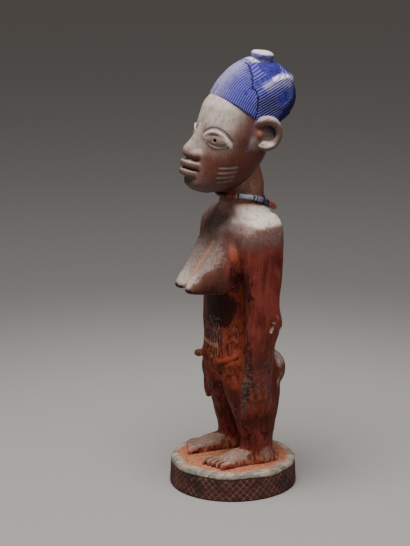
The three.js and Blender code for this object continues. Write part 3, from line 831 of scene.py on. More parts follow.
def limb_paint(points, up, sky, rough, coarse):
    """The lower arms and hands, the legs, the buttocks and the feet. The legs get painted shade where the
    carving closes over them.
    """
    x, y, z = points.T
    side = np.abs(x)
    outer = rise(side, 21.5, 25.5)
    lower_arm = window(z + 14 * rough, 34, 80, 12) * outer
    arm_front = lower_arm * rise(-y + 6 * rough, -3, 5)
    hand = window(z, 33, 51, 3) * rise(side, 22.5, 25)
    finger_gaps = hand * digit_gaps(y, finger_gap_places, 1.0)
    leg = window(z, 9, 70, 6) * (1 - outer * rise(z, 30, 36))
    thigh = leg * rise(z + 12 * rough, 42, 62)
    hip = window(z + 8 * rough, 48, 74, 5) * (1 - outer) * rise(-y, -6, 4)
    foot = fall(z, 8.5, 11)
    instep = foot * rise(up + 0.4 * rough, 0.0, 0.5) * rise(z, 2, 4)
    ankle = window(z + 3 * rough, -1, 7, 3) * fall(np.hypot(side - 16, y - 9), 9, 15)
    buttock = rise(y, 17, 22) * window(z, 46, 74, 4)
    buttock_top = buttock * rise(up + 0.5 * rough, 0.1, 0.6)
    salmon = along_line(points, [(20, 22, 66), (20.6, 22, 56), (20, 20, 46), (19, 17, 36)], 2, 1.4)
    torn = points + 4 * np.column_stack([rough, coarse, rough + coarse])
    chips = sum(around_spot(torn, place, 1.2 * size, 0.6) for place, size in elbow_chips)
    chips = np.minimum(chips * (x > 0), 1)
    toe_tips = rise(-y, 18, 22) * (z < 6) * rise(z, 1, 2.5)
    heel_lump = around_spot(points, (25, 12, 6), (5, 7, 6), 0.4)
    return {
        "pale": most(0.7 * chips, 0.35 * buttock_top),
        "taupe": most(0.9 * buttock_top, 0.3 * lower_arm, 0.3 * instep, 0.4 * buttock),
        "umber": most(0.4 * lower_arm, 0.4 * instep),
        # The dark layer is the legs' dark brown and the arms' dark patches, with painted shade on the legs
        # where the carving closes over them.
        "dark": most(
            0.6 * leg * rise(0.75 - sky, 0, 0.5), 0.5 * leg, 0.3 * lower_arm, 0.52 * arm_front,
        ),
        "camwood": most(
            0.46 * leg, 0.62 * thigh, 0.78 * hip, 0.7 * ankle, 0.7 * finger_gaps, 0.45 * foot, 0.3 * hand,
        ),
        "powder": most(
            0.6 * salmon, 0.6 * instep * (1 - ankle), 0.42 * foot, 0.7 * toe_tips, 0.5 * heel_lump,
        ),
        "lichen": most(0.56 * instep * (1 - ankle), 0.42 * arm_front, 0.5 * heel_lump, 0.2 * lower_arm),
        "seam": finger_gaps * rise(rough, -0.2, 0.0),
        # The line layer darkens the gaps between the toes: grime with painted shade.
        "line": toe_gap_depth(points),
    }


def face_paint(points, up, rough, coarse):
    """The head: grey where hands have worn it, with painted sheen on the brow, round the eyes and on the
    nose's bridge, painted shade under the jaw and in the top of each ear's bowl, brown below, and hair
    pigment by the ears.
    """
    head = in_head(points)
    x, y, z = head.T
    side = np.abs(x)
    # Painted sheen with wear: grey on the brow and round the eyes, and pale on the upward face of the
    # nose's bridge.
    forehead = rise(z + 5 * rough, -4, 14) * rise(-y + 0.3 * z + 9 * rough, 8, 30)
    around_eye = around_spot(head, on_head(eye_turn, eye_z), (12, 12, 9), 0.45)
    upper_lid = along_line(head, lid_points(1, 0.2), 1.5, 0.5)
    lower_lid = along_line(head, lid_points(-0.8, 0.1), 1.0, 0.4)
    ball = around_spot(head, on_head(eye_turn, eye_z), (9.4, 9.4, 4.2), 0.2)
    crease = most(
        0.8 * along_line(head, lid_points(1, 0.4, spread=2.5), 0.8, 0.6),
        along_line(head, lid_points(1, 0.0, spread=-1.7), 0.45, 0.35),
        0.6 * along_line(head, lid_points(-0.8, 0.0, spread=-1.2), 0.4, 0.35),
    )
    nose_bridge = rise(-y, 24, 28) * rise(z, nose_z + 1, nose_z + 5)
    nose_side = window(z, nose_z, brow_z, 2) * rise(-y, 21, 25) * fall(side, 8, 11)
    mouth = rise(-y, 23, 27) * window(z, mouth_z - 7, mouth_z + 7, 1.5)
    lips_top = mouth * rise(up, 0.35, 0.75) * rise(-y, 25, 29)
    parting = mouth * fall(np.abs(z - mouth_z), 0.3, 1.0) * (side < 10)
    under = rise(-up, 0.15, 0.7) * fall(z, -26, -14)
    chin = fall(z, -29, -22) * rise(-y, 4, 14)
    marks = cheek_depth(points)
    ear = rise(side, 20.6, 22.4) * window(z, -1, 23, 1) * window(y, -4, 16, 1)
    bowl = ear * around_spot(head, (24, 8.4, 11), (4, 5, 6.4), 0.35)
    lobe = ear * fall(z, 5.5, 8) * rise(up + 0.5 * rough, -0.2, 0.4)
    rim_top = ear * rise(z, 14, 18) * rise(up + 0.5 * coarse, 0.1, 0.7)
    streak = along_line(head, [(19.4, -5.2, 20), (21, -4.6, 13), (21.6, -4.4, 5), (21.4, -4, -3)], 1.5, 1.2)
    return {
        "pale": most(
            0.66 * forehead, 0.85 * upper_lid, 0.5 * lower_lid, 0.12 * ball, 0.45 * lips_top, lobe,
            0.6 * rim_top, 0.12 * marks, 0.4 * nose_bridge * rise(up, -0.3, 0.3),
            0.35 * bowl * rise(-z + 0.8 * y, -6, 2),
        ),
        "taupe": most(
            forehead, 0.55 * around_eye * (1 - 0.5 * ball), 0.5 * nose_side, 0.35 * chin, 0.3 * mouth,
            0.4 * marks, 0.5 * rim_top, 0.4 * ear,
        ),
        "umber": np.ones(len(points)),
        # The dark layer is painted shade under the jaw, on faces turned down and in the top of each ear's
        # bowl under its rim, with the chin's own darker brown.
        "dark": most(0.5 * under, 0.3 * chin, 0.55 * bowl * rise(z - 0.8 * y, 0, 6)),
        "camwood": most(
            0.3 * mouth, 0.25 * fall(z, -6, 2), 0.35 * ear,
            0.6 * ear * around_spot(head, (22.4, 1.6, 9.8), 4),
        ),
        "blue": most(
            0.5 * streak * rise(coarse, -0.2, 0.0), 0.4 * rim_top * rise(coarse, -0.05, 0.1),
            0.45 * bowl * rise(coarse, -0.1, 0.1),
        ),
        # The line layer darkens the lid creases, the bored pupils and the lips' parting: grime with painted
        # shade in the cuts.
        "line": most(crease, pupil_share(head), 0.85 * parting),
    }


def body_paint(points, triangles):
    """How much of each layer of paint, powder, wear, and painted sheen and shade lies on each point, from 0
    to 1.
    """
    normals = normals_of(points, triangles)
    # The openness sets where shade is painted on the body, where the carving closes over it.
    sky = openness(points, triangles, normals, reach=24, rays=14)
    hollow = hollows(points, triangles, normals, 5)
    up = normals[:, 2]
    rough = mottle(points, 9, 11)
    coarse = mottle(points, 3.6, 13)
    x, y, z = points.T
    neck = window(z, 165, 190, 2) * fall(np.hypot(x, y - 5.5), 13.4, 14.8)
    face = rise(in_head(points)[:, 2], -35.5, -32) * (1 - neck)
    whole = {key: np.zeros(len(points)) for key in LAYERS}
    for share, layers in (
        ((1 - face) * (1 - neck), torso_paint(points, up, sky, rough, coarse)),
        ((1 - face) * (1 - neck), limb_paint(points, up, sky, rough, coarse)),
        (face, face_paint(points, up, rough, coarse)),
        (neck, {"camwood": 0.5 * neck, "powder": 0.42 * neck, "umber": 0.7 * neck, "taupe": 0.45 * neck}),
    ):
        for key, values in layers.items():
            whole[key] = most(whole[key], share * values)
    whole["hollow"] = np.clip(2.2 * hollow, -1, 1)
    shoulders = rise(z + 6 * rough, 132, 150)
    whole["smooth"] = most(face, 0.55 * neck, 0.75 * shoulders * (1 - face), 0.4 * (y < -20))
    return whole


# The coiffure: combed ridges from the hairline to the crest, and raised lobes behind

dome_stations = [
    (0, -24, 26, -23.4, 27.2, 0, 0.08),
    (0.035, -23.8, 25.9, -22.2, 32.2, 0, 0.08),
    (0.07, -23.6, 25.8, -19.7, 38, 0, 0.08),
    (0.105, -23.4, 25.7, -16.3, 43.3, 0, 0.08),
    (0.14, -23.2, 25.6, -12, 48.2, 0, 0.08),
    (0.28, -21.5, 25, -3, 53.6, 0, 0.08),
    (0.44, -15.5, 22.2, 9.4, 54, 0, 0.12),
    (0.58, -9.6, 19.4, 18.6, 50, 0, 0.18),
]
lobe_stations = [
    (0.58, -9.2, 19.2, 19.2, 49, 12.4, 0.18),
    (0.72, -2.6, 16.2, 20.8, 41.5, 13.2, 0.15),
    (0.86, 5, 14.4, 22.6, 33.5, 13.8, 0.11),
    (1, 12.6, 14, 23.4, 25, 13, 0.08),
]
lobe_start = lobe_stations[0][0]
lobe_valley = 2.4
lobe_squareness = 0.85
hair_lift = 1.2
hair_growth = 0.036  # the share over which the first hoops come to their full width
hair_rings = 240
arch_points = 150
crest_points = 14

ridge_pitch = 1.5
ridge_depth = 0.55
comb_width = 21.5
comb_depth = 20
comb_lean = 0.25
rear_slope = math.radians(38.5)

# Lines on the left side of the hair, as places along and up in the head's frame
crack = [(-10.5, 50.4), (-9, 48.6), (-8.6, 43.4), (-8.8, 36), (-6.1, 33.6), (-5, 29.8), (-4.1, 22.1),
         (-4.4, 15)]
strip_line = [(-7.8, 38), (-1.5, 42.6), (4.5, 46.4), (9, 49)]
small_patch_line = [(-9.2, 35.6), (-12.6, 31.6)]
lobe_top_edge = [(5, 44), (9, 46), (14, 47.2), (19, 46.4)]
lobe_worn = [(0, 38.5), (8, 43), (15, 44)]
crest_line = [(0, 4, 47), (0, 10, 47), (0, 18, 43.4), (0, 22.6, 35), (0, 21, 26), (0, 15, 17)]
knob_outline = [(7.2, 46), (6.6, 51), (6.6, 54), (7.1, 55.6), (6.9, 57.3), (5.2, 58.6), (2.6, 59),
                (0.2, 59)]


def hair_side(share):
    """Half a ring of the hair's smooth form for each share, from the hairline up to the middle."""
    share = share[:, None]
    dome, lobes = (np.array(stations, float) for stations in (dome_stations, lobe_stations))
    dome, lobes = (between(table[:, 0], table[:, 1:], share[:, 0]) for table in (dome, lobes))
    rows = np.where(share < lobe_start, dome, lobes)
    growth = np.sqrt(np.clip(share / hair_growth, 0.02, 1))
    foot, end, sweep = rows[:, 0:2], rows[:, 2:4], rows[:, 5:6]
    corner = np.maximum(rows[:, 4:5], 0.8) * growth
    along = end - foot
    bend = (foot + end) / 2 + 2 * sweep * np.stack([-along[:, 1], along[:, 0]], axis=1)
    lobe = share >= lobe_start
    power = np.where(lobe, lobe_squareness, 1.0)
    width = head_half_width(foot[:, 0], foot[:, 1])[:, None] + hair_lift
    width = np.maximum(width * growth, corner + 0.4 * growth)
    turn = np.linspace(0, math.pi / 2, arch_points)[None, :]
    t = np.sin(turn) ** power
    x = corner + (width - corner) * np.cos(turn) ** power
    t = t[:, :, None]
    yz = foot[:, None] * (1 - t) ** 2 + 2 * bend[:, None] * t * (1 - t) + end[:, None] * t**2
    arch = np.concatenate([x[:, :, None], yz], axis=2)
    inward = np.linspace(0, 1, crest_points + 1)[None, 1:, None]
    drop = np.where(lobe, lobe_valley, 0.1)[:, :, None] * rise(inward, 0, 1)
    top = np.broadcast_to(end[:, None] - unit(along)[:, None] * drop, (len(share), crest_points, 2))
    crest = np.concatenate([corner[:, :, None] * (1 - inward), top], axis=2)
    return np.concatenate([arch, crest], axis=1), foot


def combed(head):
    """The number of the comb's line through each place, and how far over the dome the place is. The
    comb runs straight back over the dome in front of the crack, and up and back behind it."""
    x, y, z = head.T
    outline = np.array([dome_stations[0][1:3]] + [station[3:5] for station in dome_stations[:-1]])
    back = y - between(outline[:, 1], outline[:, :1], z)[:, 0]
    back = back + comb_lean * (31 - z) * rise(y, -18, -8)
    turn = np.arctan2(np.abs(x) / comb_width, 1 - np.minimum(back / comb_depth, 1))
    over = comb_depth * turn + np.maximum(back - comb_depth, 0)
    rear = y * math.sin(rear_slope) - z * math.cos(rear_slope)
    line = np.array(crack[::-1])[:, ::-1]
    behind = y > between(line[:, 0], line[:, 1:], z)[:, 0]
    wander = 0.5 * mottle(head, 9, 47)
    return np.where(behind, rear, over) / ridge_pitch + wander, over


def beside(head, line, reach, soft):
    """1 near a line drawn on the side of the head as places along and up, 0 away from it."""
    distance = line_distance(head * [0, 1, 1], [(0, *place) for place in line])[0]
    return fall(distance, reach - soft, reach + soft)


def hair_paint(head, over):
    """Where the pigment is worn pale, lies thick and dark, and where the ridges have gone."""
    x, y, z = head.T
    side = np.abs(x)
    rough = mottle(head, 5, 41)
    fine = mottle(head, 2.4, 43)
    jagged = head + 1.6 * rough[:, None] + 0.8 * fine[:, None]
    in_front = fall(y + 6 * rough, -12, -4)
    front = in_front * fall(over + 7 * rough, 1, 21)
    top = beside(jagged, [(-6, 51.4), (-2, 53)], 1.6, 1.2) * fall(side, 5, 8)
    lobe_edge = beside(jagged, lobe_top_edge, 1.2, 0.8) * rise(side, 7, 10)
    lobe_wear = beside(jagged, lobe_worn, 3.4, 2.6) * rise(side, 7, 10)
    worn = most(0.6 * front, top, lobe_edge, 0.6 * lobe_wear)
    strip = beside(jagged, strip_line, 1.5, 0.6) * rise(side, 5, 8)
    small_patch = beside(jagged, small_patch_line, 1.1, 0.5)
    behind_knob = beside(jagged, [(1, 50.5), (8, 51.5)], 4.6, 1.4)
    low_patch = beside(jagged, [(11.6, 33), (13.4, 35)], 3.2, 1.4)
    under = rise(y - 0.55 * z + 6 * rough, -3, 3)
    smooth = most(strip, small_patch, behind_knob, low_patch, 0.8 * under)
    lobe_foot = beside(head, [(0, 27), (10, 30)], 6, 4)
    lobe_foot = lobe_foot * (1 - 0.7 * low_patch)
    deep = most(under, 0.45 * rise(y - 0.5 * z, -13, -3), 0.9 * lobe_foot, 0.6 * behind_knob)
    split = beside(head + 0.9 * lumps(head, 1.5, 7)[:, None], crack, 0.42, 0.32) * (x > 2)
    return {"worn": worn, "smooth": smooth, "deep": deep, "split": split}


def coiffure():
    """The hair as one form with its paint: a skin of rings, the crest behind and the knob on top."""
    half, foot = hair_side(np.linspace(0, 1, hair_rings))
    other = half[:, -2::-1] * [-1, 1, 1]
    under = np.stack([np.zeros(hair_rings), 0.75 * foot[:, 0], foot[:, 1] - 8], axis=1)[:, None]
    points, triangles = skin(np.concatenate([half, other, under], axis=1))
    points = eased(points, triangles, 3)
    normals = normals_of(points, triangles)
    phase, over = combed(points)
    paint = hair_paint(points, over)
    fade = (1 - 0.92 * paint["smooth"]) * (1 - 0.6 * paint["worn"])
    valley = (0.5 - 0.5 * np.cos(2 * math.pi * phase)) ** 1.4
    lift = 0.3 * lumps(points, 6, 51) - ridge_depth * fade * valley - 1.1 * paint["split"]
    lift -= 0.5 * paint["smooth"]
    points = points + normals * lift[:, None]
    paint["phase"] = phase
    crest = strand(crest_line, [6, 6.4, 7, 8.6, 7.6, 3], steps=80, sides=56)
    knob = lathed(curve_through(knob_outline, 32)[0], 64)
    knob = leaned(knob[0], -0.4 * head_lean, np.array([0, 8, 0])), knob[1]
    forms = [(points, triangles)]
    for is_knob, (more, faces) in enumerate((crest, knob)):
        facing = normals_of(more, faces)
        more = more + facing * ((1.5 if is_knob else 0.7) * mottle(more, 4, 61))[:, None]
        none = np.zeros(len(more))
        extra = hair_paint(more, none + 20)
        if is_knob:
            extra["worn"] = 0.42 + 0.58 * rise(facing[:, 2] + 0.6 * mottle(more, 3, 63), 0.1, 0.7)
            extra["deep"] = none + 0.35
        extra.update(smooth=none + 1, split=none, phase=none)
        paint = {key: np.concatenate([paint[key], extra[key]]) for key in paint}
        forms.append((more, faces))
    return *on_neck(together(forms)), paint


# The base, with a worn rim and a band of crossed lines round its side

base_height = 18
base_radius = (figure_high[0] - figure_low[0]) / 2 / MM
rim_drop = 2.4
rim_width = 4.4
base_around = 720
base_unevenness = 0.008  # as a share of the radius
hatch_pitch = 4.5


def hatch(turn, height, radius):
    """How deep in a cut line each place on the base's side is, from 0 to 1."""
    lines = round(2 * math.pi * radius / hatch_pitch)
    wander = 0.5 * lumps(circle(radius, turn), 7, 71)
    depth = np.zeros(len(turn))
    for way in (1, -1):
        place = turn * lines / (2 * math.pi) + way * height / hatch_pitch + 0.16 * way * wander
        off = np.abs(place - np.round(place)) * hatch_pitch * math.sqrt(0.5)
        depth = most(depth, bell(off, 0, 0.42))
    return depth


def base():
    radius = base_radius
    side = base_height - rim_drop
    outline = np.array([
        (0.01, 0), (0.35 * radius, 0), (0.7 * radius, 0), (radius - 2, 0), (radius - 0.5, 0.15),
        (radius, 0.8), (radius - 0.7, side),
        (radius - 0.3 * rim_width, side + 0.6 * rim_drop),
        (radius - rim_width, base_height - 0.2),
        (0.6 * radius, base_height), (0.3 * radius, base_height), (0.01, base_height),
    ])
    counts = [2, 2, 4, 2, 2, 42, 12, 10, 12, 10, 8]
    rows = [outline[:1]]
    for a, b, n in zip(outline, outline[1:], counts):
        rows.append(a + (b - a) * np.linspace(0, 1, n + 1)[1:, None])
    turn = full_turn(base_around)
    bulge = 1 - base_unevenness * (1 + np.sin(3 * turn + 0.6))
    points, triangles = lathed(np.concatenate(rows), base_around, bulge)
    normals = normals_of(points, triangles)
    x, y, z = points.T
    reach = np.hypot(x, y)
    around = np.arctan2(y, x)
    on_side = rise(reach, radius - 3.2, radius - 2.0) * rise(z, 0.2, 1.2)
    rim_line = side - 0.8 + 3.2 * mottle(points * [1, 1, 0], 14, 81)
    below_rim = on_side * fall(z, rim_line - 0.6, rim_line + 0.6)
    cut = hatch(around, z, radius) * below_rim * (0.775 + 0.45 * mottle(points, 8, 83))
    free = rise(z, 0.3, 2)
    rim = rise(z, rim_line - 0.5, rim_line + 0.5) * rise(
        reach + 7 * mottle(points, 9, 89), radius - rim_width - 5, radius - rim_width + 1.5)
    lift = -0.42 * cut + free * 0.5 * mottle(points, 10, 85)
    lift += rim * (1.5 * (mottle(points, 11, 87) - 0.12) + 0.25 * mottle(points, 2.5, 88))
    lift -= 0.35 * on_side * bell(z, rim_line - 0.8, 0.7)
    points = points + normals * lift[:, None]
    points[:, 2] = np.maximum(points[:, 2], 0)
    top = (1 - on_side) * rise(z, base_height - 3, base_height - 0.3)
    return points - [0, 0, base_height], triangles, {"cut": cut, "rim": rim, "top": top}


# Materials


class Shader:
    """A material and short ways to add its nodes. Sizes of patterns are in millimetres."""

    def __init__(self, name):
        self.material = bpy.data.materials.new(name)
        self.material.use_nodes = True
        self.tree = self.material.node_tree
        self.tree.nodes.clear()
        output = self.tree.nodes.new("ShaderNodeOutputMaterial")
        self.surface = self.tree.nodes.new("ShaderNodeBsdfPrincipled")
        self.tree.links.new(self.surface.outputs[0], output.inputs["Surface"])
        self.place = self.tree.nodes.new("ShaderNodeTexCoord").outputs["Object"]

    def put(self, socket, value):
        if isinstance(value, bpy.types.NodeSocket):
            self.tree.links.new(value, socket)
        elif isinstance(value, tuple) and len(value) == 3 and socket.type == "RGBA":
            socket.default_value = (*value, 1)
        else:
            socket.default_value = value

    def set(self, name, value):
        self.put(self.surface.inputs[name], value)

    def node(self, kind, inputs, output=0, **settings):
        node = self.tree.nodes.new("ShaderNode" + kind)
        for key, value in settings.items():
            setattr(node, key, value)
        for key, value in inputs.items():
            self.put(node.inputs[key], value)
        return node.outputs[output]

    def value(self, name):
        return self.node("Attribute", {}, "Fac", attribute_name=name)

    def math(self, operation, a, b=0.0):
        return self.node("Math", {0: a, 1: b}, operation=operation)

    def times(self, a, b):
        return self.math("MULTIPLY", a, b)

    def shaken(self, value, noise):
        """The value, moved up and down by a noise about 0.5."""
        return self.math("ADD", value, self.math("SUBTRACT", noise, 0.5))

    def mix(self, share, a, b):
        return self.node("Mix", {0: share, 6: a, 7: b}, 2, data_type="RGBA")

    def coated(self, color, mask, share, coat):
        """The colour under a coat that covers it by this share where the mask is 1."""
        return self.mix(self.times(mask, share), color, coat)

    def step(self, value, low, high, to_low=0.0, to_high=1.0):
        inputs = {0: value, 1: low, 2: high, 3: to_low, 4: to_high}
        return self.node("MapRange", inputs, interpolation_type="SMOOTHSTEP")

    def scaled(self, size, stretch=(1, 1, 1)):
        factors = tuple(1 / (MM * size * s) for s in stretch)
        return self.node("VectorMath", {0: self.place, 1: factors}, operation="MULTIPLY")

    def noise(self, size, detail=4, rough=0.6, stretch=(1, 1, 1), twist=0.0):
        inputs = {"Vector": self.scaled(size, stretch), "Scale": 1.0, "Detail": detail,
                  "Roughness": rough, "Distortion": twist}
        return self.node("TexNoise", inputs)

    def patchy(self, mask, noise, softness=0.12, reach=0.5):
        """The mask with the noise's broken edge: full where the mask is 1, none where it is 0."""
        raised = self.math("ADD", mask, self.times(self.math("SUBTRACT", noise, 0.5), 2 * reach))
        return self.times(self.step(raised, 0.5 - softness, 0.5 + softness), self.step(mask, 0.0, 0.12))

    def bump(self, height, depth, before=None):
        under = {} if before is None else {"Normal": before}
        return self.node("Bump", {"Height": height, "Distance": depth * MM, "Strength": 1.0, **under})


MAROON = (0.24, 0.042, 0.030)
MAROON_DEEP = (0.09, 0.013, 0.009)
MAROON_WARM = (0.28, 0.056, 0.038)
UMBER = (0.075, 0.033, 0.025)
UMBER_WARM = (0.115, 0.041, 0.028)
CAMWOOD_DEEP = (0.28, 0.045, 0.018)
CAMWOOD = (0.38, 0.078, 0.035)
SALMON = (0.50, 0.20, 0.12)
SALMON_PALE = (0.56, 0.34, 0.24)
# Near-black, for grime and for painted shade.
SOOT_AND_SHADE = (0.014, 0.003, 0.0025)
TAUPE = (0.22, 0.15, 0.125)
TAUPE_PALE = (0.36, 0.29, 0.26)
BONE = (0.68, 0.58, 0.49)
BONE_GREY = (0.38, 0.335, 0.31)
GREEN_GREY = (0.15, 0.16, 0.125)
BLUE_GREY = (0.12, 0.12, 0.26)
CREAM = (0.46, 0.37, 0.27)


def wood_material():
    s = Shader("carved_wood")
    fine = s.noise(1.2)
    middle = s.noise(4.0)
    broad = s.noise(15, 3, 0.5)
    streaks = s.noise(2.2, 5, 0.6, stretch=(1, 1, 7))
    grain = s.noise(0.8, stretch=(1, 1, 12))
    crust = s.noise(2.4, 5, 0.65, twist=0.5)
    flow = s.noise(2.8, 5, 0.62, stretch=(1, 1, 2.4), twist=0.8)
    brushed = s.noise(1.5, 5, 0.7, stretch=(1, 1, 1.8), twist=0.8)
    hollow = s.value("hollow")
    smooth = s.value("smooth")

    def laid(color, name, share, coat, noise, softness, reach):
        """The colour under a layer, which is even where the wood is smooth and torn elsewhere. The layers
        are paint, powder and wear, and painted sheen and shade.
        """
        layer = s.value(name)
        torn = s.patchy(layer, noise, softness, reach)
        even = s.times(layer, s.step(noise, 0.25, 0.75, 0.75, 1.15))
        return s.coated(color, s.node("Mix", {0: smooth, 2: torn, 3: even}), share, coat)

    color = s.mix(s.step(broad, 0.3, 0.7), MAROON_DEEP, MAROON)
    color = s.coated(color, s.step(streaks, 0.45, 0.65), 0.6, MAROON_WARM)
    color = s.coated(color, s.step(grain, 0.5, 0.7), 0.4, MAROON_DEEP)
    umber = s.mix(s.step(middle, 0.3, 0.7), UMBER, UMBER_WARM)
    color = laid(color, "umber", 0.85, umber, middle, 0.5, 0.25)
    in_hollow = s.times(s.step(hollow, 0.15, 0.7), s.step(smooth, 0.2, 0.8, 0.3, 0.05))
    red = s.patchy(s.math("ADD", s.value("camwood"), in_hollow), flow, 0.14, 0.6)
    color = s.coated(color, red, 0.85, s.mix(s.step(fine, 0.35, 0.7), CAMWOOD_DEEP, CAMWOOD))
    # Near-black for dark stain and grime, and for painted shade.
    soot_and_shade = s.mix(s.step(fine, 0.4, 0.8), SOOT_AND_SHADE, MAROON_DEEP)
    taupe = s.mix(s.step(fine, 0.3, 0.7), TAUPE, TAUPE_PALE)
    salmon = s.mix(s.step(fine, 0.35, 0.65), SALMON, SALMON_PALE)
    green = s.mix(s.step(middle, 0.35, 0.65), GREEN_GREY, TAUPE)
    # The dark layer: dark stain, and painted shade under the breasts and jaw and where the carving closes
    # over the skin.
    color = laid(color, "dark", 0.94, soot_and_shade, flow, 0.2, 0.55)
    # The taupe layer is wear, with painted sheen on the tops of the breasts and shoulders and on the brow.
    color = laid(color, "taupe", 0.85, taupe, brushed, 0.2, 0.7)
    color = laid(color, "powder", 0.9, salmon, flow, 0.16, 0.55)
    color = laid(color, "lichen", 0.8, green, crust, 0.12, 0.6)
    scratch = s.step(s.noise(0.8, 3, 0.5, stretch=(1, 7, 1), twist=1.0), 0.6, 0.7)
    bone = s.mix(s.step(flow, 0.28, 0.56), BONE_GREY, BONE)
    # The pale layer is worn pale paint, with painted sheen on the breast tips, the brow and the nose's
    # bridge.
    color = laid(color, "pale", 0.92, s.coated(bone, scratch, 0.55, TAUPE), brushed, 0.35, 0.3)
    color = s.mix(s.times(s.value("blue"), s.step(fine, 0.3, 0.6)), color, BLUE_GREY)
    color = s.coated(color, s.value("seam"), 0.85, CAMWOOD)
    # Near-black in deep hollows and in the carved lines, creases and bored pupils: grime there, and painted
    # shade.
    crease_dirt_and_shade = s.times(s.step(hollow, 0.35, 1.0), 0.6)
    color = s.mix(s.math("MAXIMUM", s.times(s.value("line"), 0.94), crease_dirt_and_shade), color, SOOT_AND_SHADE)
    color = s.coated(color, s.step(s.times(hollow, -1.0), 0.3, 0.9), 0.22, TAUPE_PALE)
    cells = s.node("TexVoronoi", {"Vector": s.scaled(5.2), "Scale": 1.0})
    color = s.mix(s.times(s.step(cells, 0.075, 0.03), s.step(smooth, 0.5, 0.1, 0.0, 0.8)), color, BONE_GREY)
    s.set("Base Color", color)
    rough = s.step(s.math("ADD", red, s.value("pale")), 0.0, 1.0, 0.5, 0.78)
    s.set("Roughness", s.math("ADD", rough, s.times(s.math("SUBTRACT", fine, 0.5), 0.25)))
    s.set("Specular IOR Level", 0.16)
    s.set("Normal", s.bump(s.noise(0.5, 3, 0.6), 0.05, s.bump(crust, 0.22, s.bump(grain, 0.1))))
    return s.material


BLUE = (0.031, 0.028, 0.25)
BLUE_BRIGHT = (0.036, 0.036, 0.31)
NAVY = (0.008, 0.006, 0.075)
LAVENDER = (0.125, 0.11, 0.33)
LAVENDER_PALE = (0.35, 0.31, 0.42)
LAVENDER_DIM = (0.17, 0.15, 0.34)
DUSK = (0.09, 0.08, 0.24)
HAIR_BONE = (0.64, 0.61, 0.65)


def coiffure_material():
    s = Shader("coiffure_pigment")
    fine = s.noise(0.9)
    middle = s.noise(3.0)
    broad = s.noise(9.0, 3, 0.5)
    deep, worn, smooth = s.value("deep"), s.value("worn"), s.value("smooth")
    thick = s.shaken(deep, middle)
    wave = s.math("COSINE", s.times(s.value("phase"), 2 * math.pi))
    uneven = s.times(s.math("SUBTRACT", middle, 0.5), 1.4)
    valley = s.mix(s.step(s.shaken(deep, broad), 0.2, 0.8), BLUE, NAVY)
    ridge = s.mix(s.step(thick, 0.1, 0.9), LAVENDER, DUSK)
    color = s.mix(s.step(s.math("ADD", wave, uneven), -0.25, 0.8), valley, ridge)
    blotch = s.mix(s.step(middle, 0.38, 0.62), s.mix(s.step(fine, 0.4, 0.7), NAVY, BLUE), BLUE_BRIGHT)
    blotch = s.coated(blotch, s.step(fine, 0.52, 0.68), 0.3, LAVENDER)
    blotch = s.mix(s.step(thick, 0.45, 0.9), blotch, NAVY)
    color = s.mix(s.step(smooth, 0.3, 0.7), color, blotch)
    bone = s.mix(s.step(worn, 0.5, 0.9), LAVENDER_PALE, HAIR_BONE)
    in_valley = s.times(s.step(wave, 0.4, -0.6), s.step(smooth, 0.6, 0.2, 0.0, 0.8))
    pale = s.patchy(worn, s.noise(2.0), 0.35, 0.25)
    color = s.coated(color, pale, 0.92, s.mix(in_valley, bone, LAVENDER_DIM))
    color = s.coated(color, s.step(s.value("split"), 0.25, 0.7), 0.95, NAVY)
    s.set("Base Color", color)
    s.set("Roughness", s.step(fine, 0.2, 0.8, 0.6, 0.85))
    s.set("Specular IOR Level", 0.3)
    s.set("Normal", s.bump(s.noise(0.7, 3, 0.6), 0.08, s.bump(middle, 0.15)))
    return s.material


SIDE_DARK = (0.031, 0.010, 0.0075)
SIDE_WARM = (0.074, 0.020, 0.0145)
LINE_TAN = (0.30, 0.15, 0.10)
TOP_SALMON = (0.44, 0.19, 0.105)
TOP_RED = (0.38, 0.09, 0.035)
RIM_GREY = (0.17, 0.165, 0.145)


def base_material():
    s = Shader("base_wood")
    fine = s.noise(1.2)
    middle = s.noise(4.0)
    broad = s.noise(12, 3, 0.55)
    crust = s.noise(2.4, 5, 0.65, twist=0.6)
    color = s.mix(s.step(broad, 0.35, 0.65), SIDE_DARK, SIDE_WARM)
    color = s.coated(color, s.step(middle, 0.5, 0.7), 0.4, MAROON_DEEP)
    line = s.times(s.step(s.value("cut"), 0.3, 0.85), s.step(s.noise(6), 0.35, 0.6, 0.12, 1.0))
    color = s.coated(color, line, 0.8, LINE_TAN)
    top = s.mix(s.step(crust, 0.35, 0.65), TOP_RED, TOP_SALMON)
    top = s.coated(top, s.step(fine, 0.5, 0.7), 0.5, CREAM)
    color = s.mix(s.step(s.value("top"), 0.2, 0.8), color, top)
    slant = s.noise(2.6, 5, 0.65, stretch=(1, 3.4, 1), twist=0.8)
    edge = s.mix(s.step(s.math("ADD", slant, s.times(broad, 0.6)), 0.7, 0.92), RIM_GREY, CREAM)
    edge = s.coated(edge, s.step(crust, 0.5, 0.65), 0.4, BONE_GREY)
    edge = s.coated(edge, s.step(broad, 0.52, 0.66), 0.5, SALMON_PALE)
    color = s.coated(color, s.patchy(s.value("rim"), slant, 0.2, 0.5), 0.92, edge)
    s.set("Base Color", color)
    s.set("Roughness", s.step(fine, 0.2, 0.8, 0.6, 0.85))
    s.set("Specular IOR Level", 0.35)
    s.set("Normal", s.bump(s.noise(0.6, 3, 0.6), 0.08, s.bump(crust, 0.3)))
    return s.material


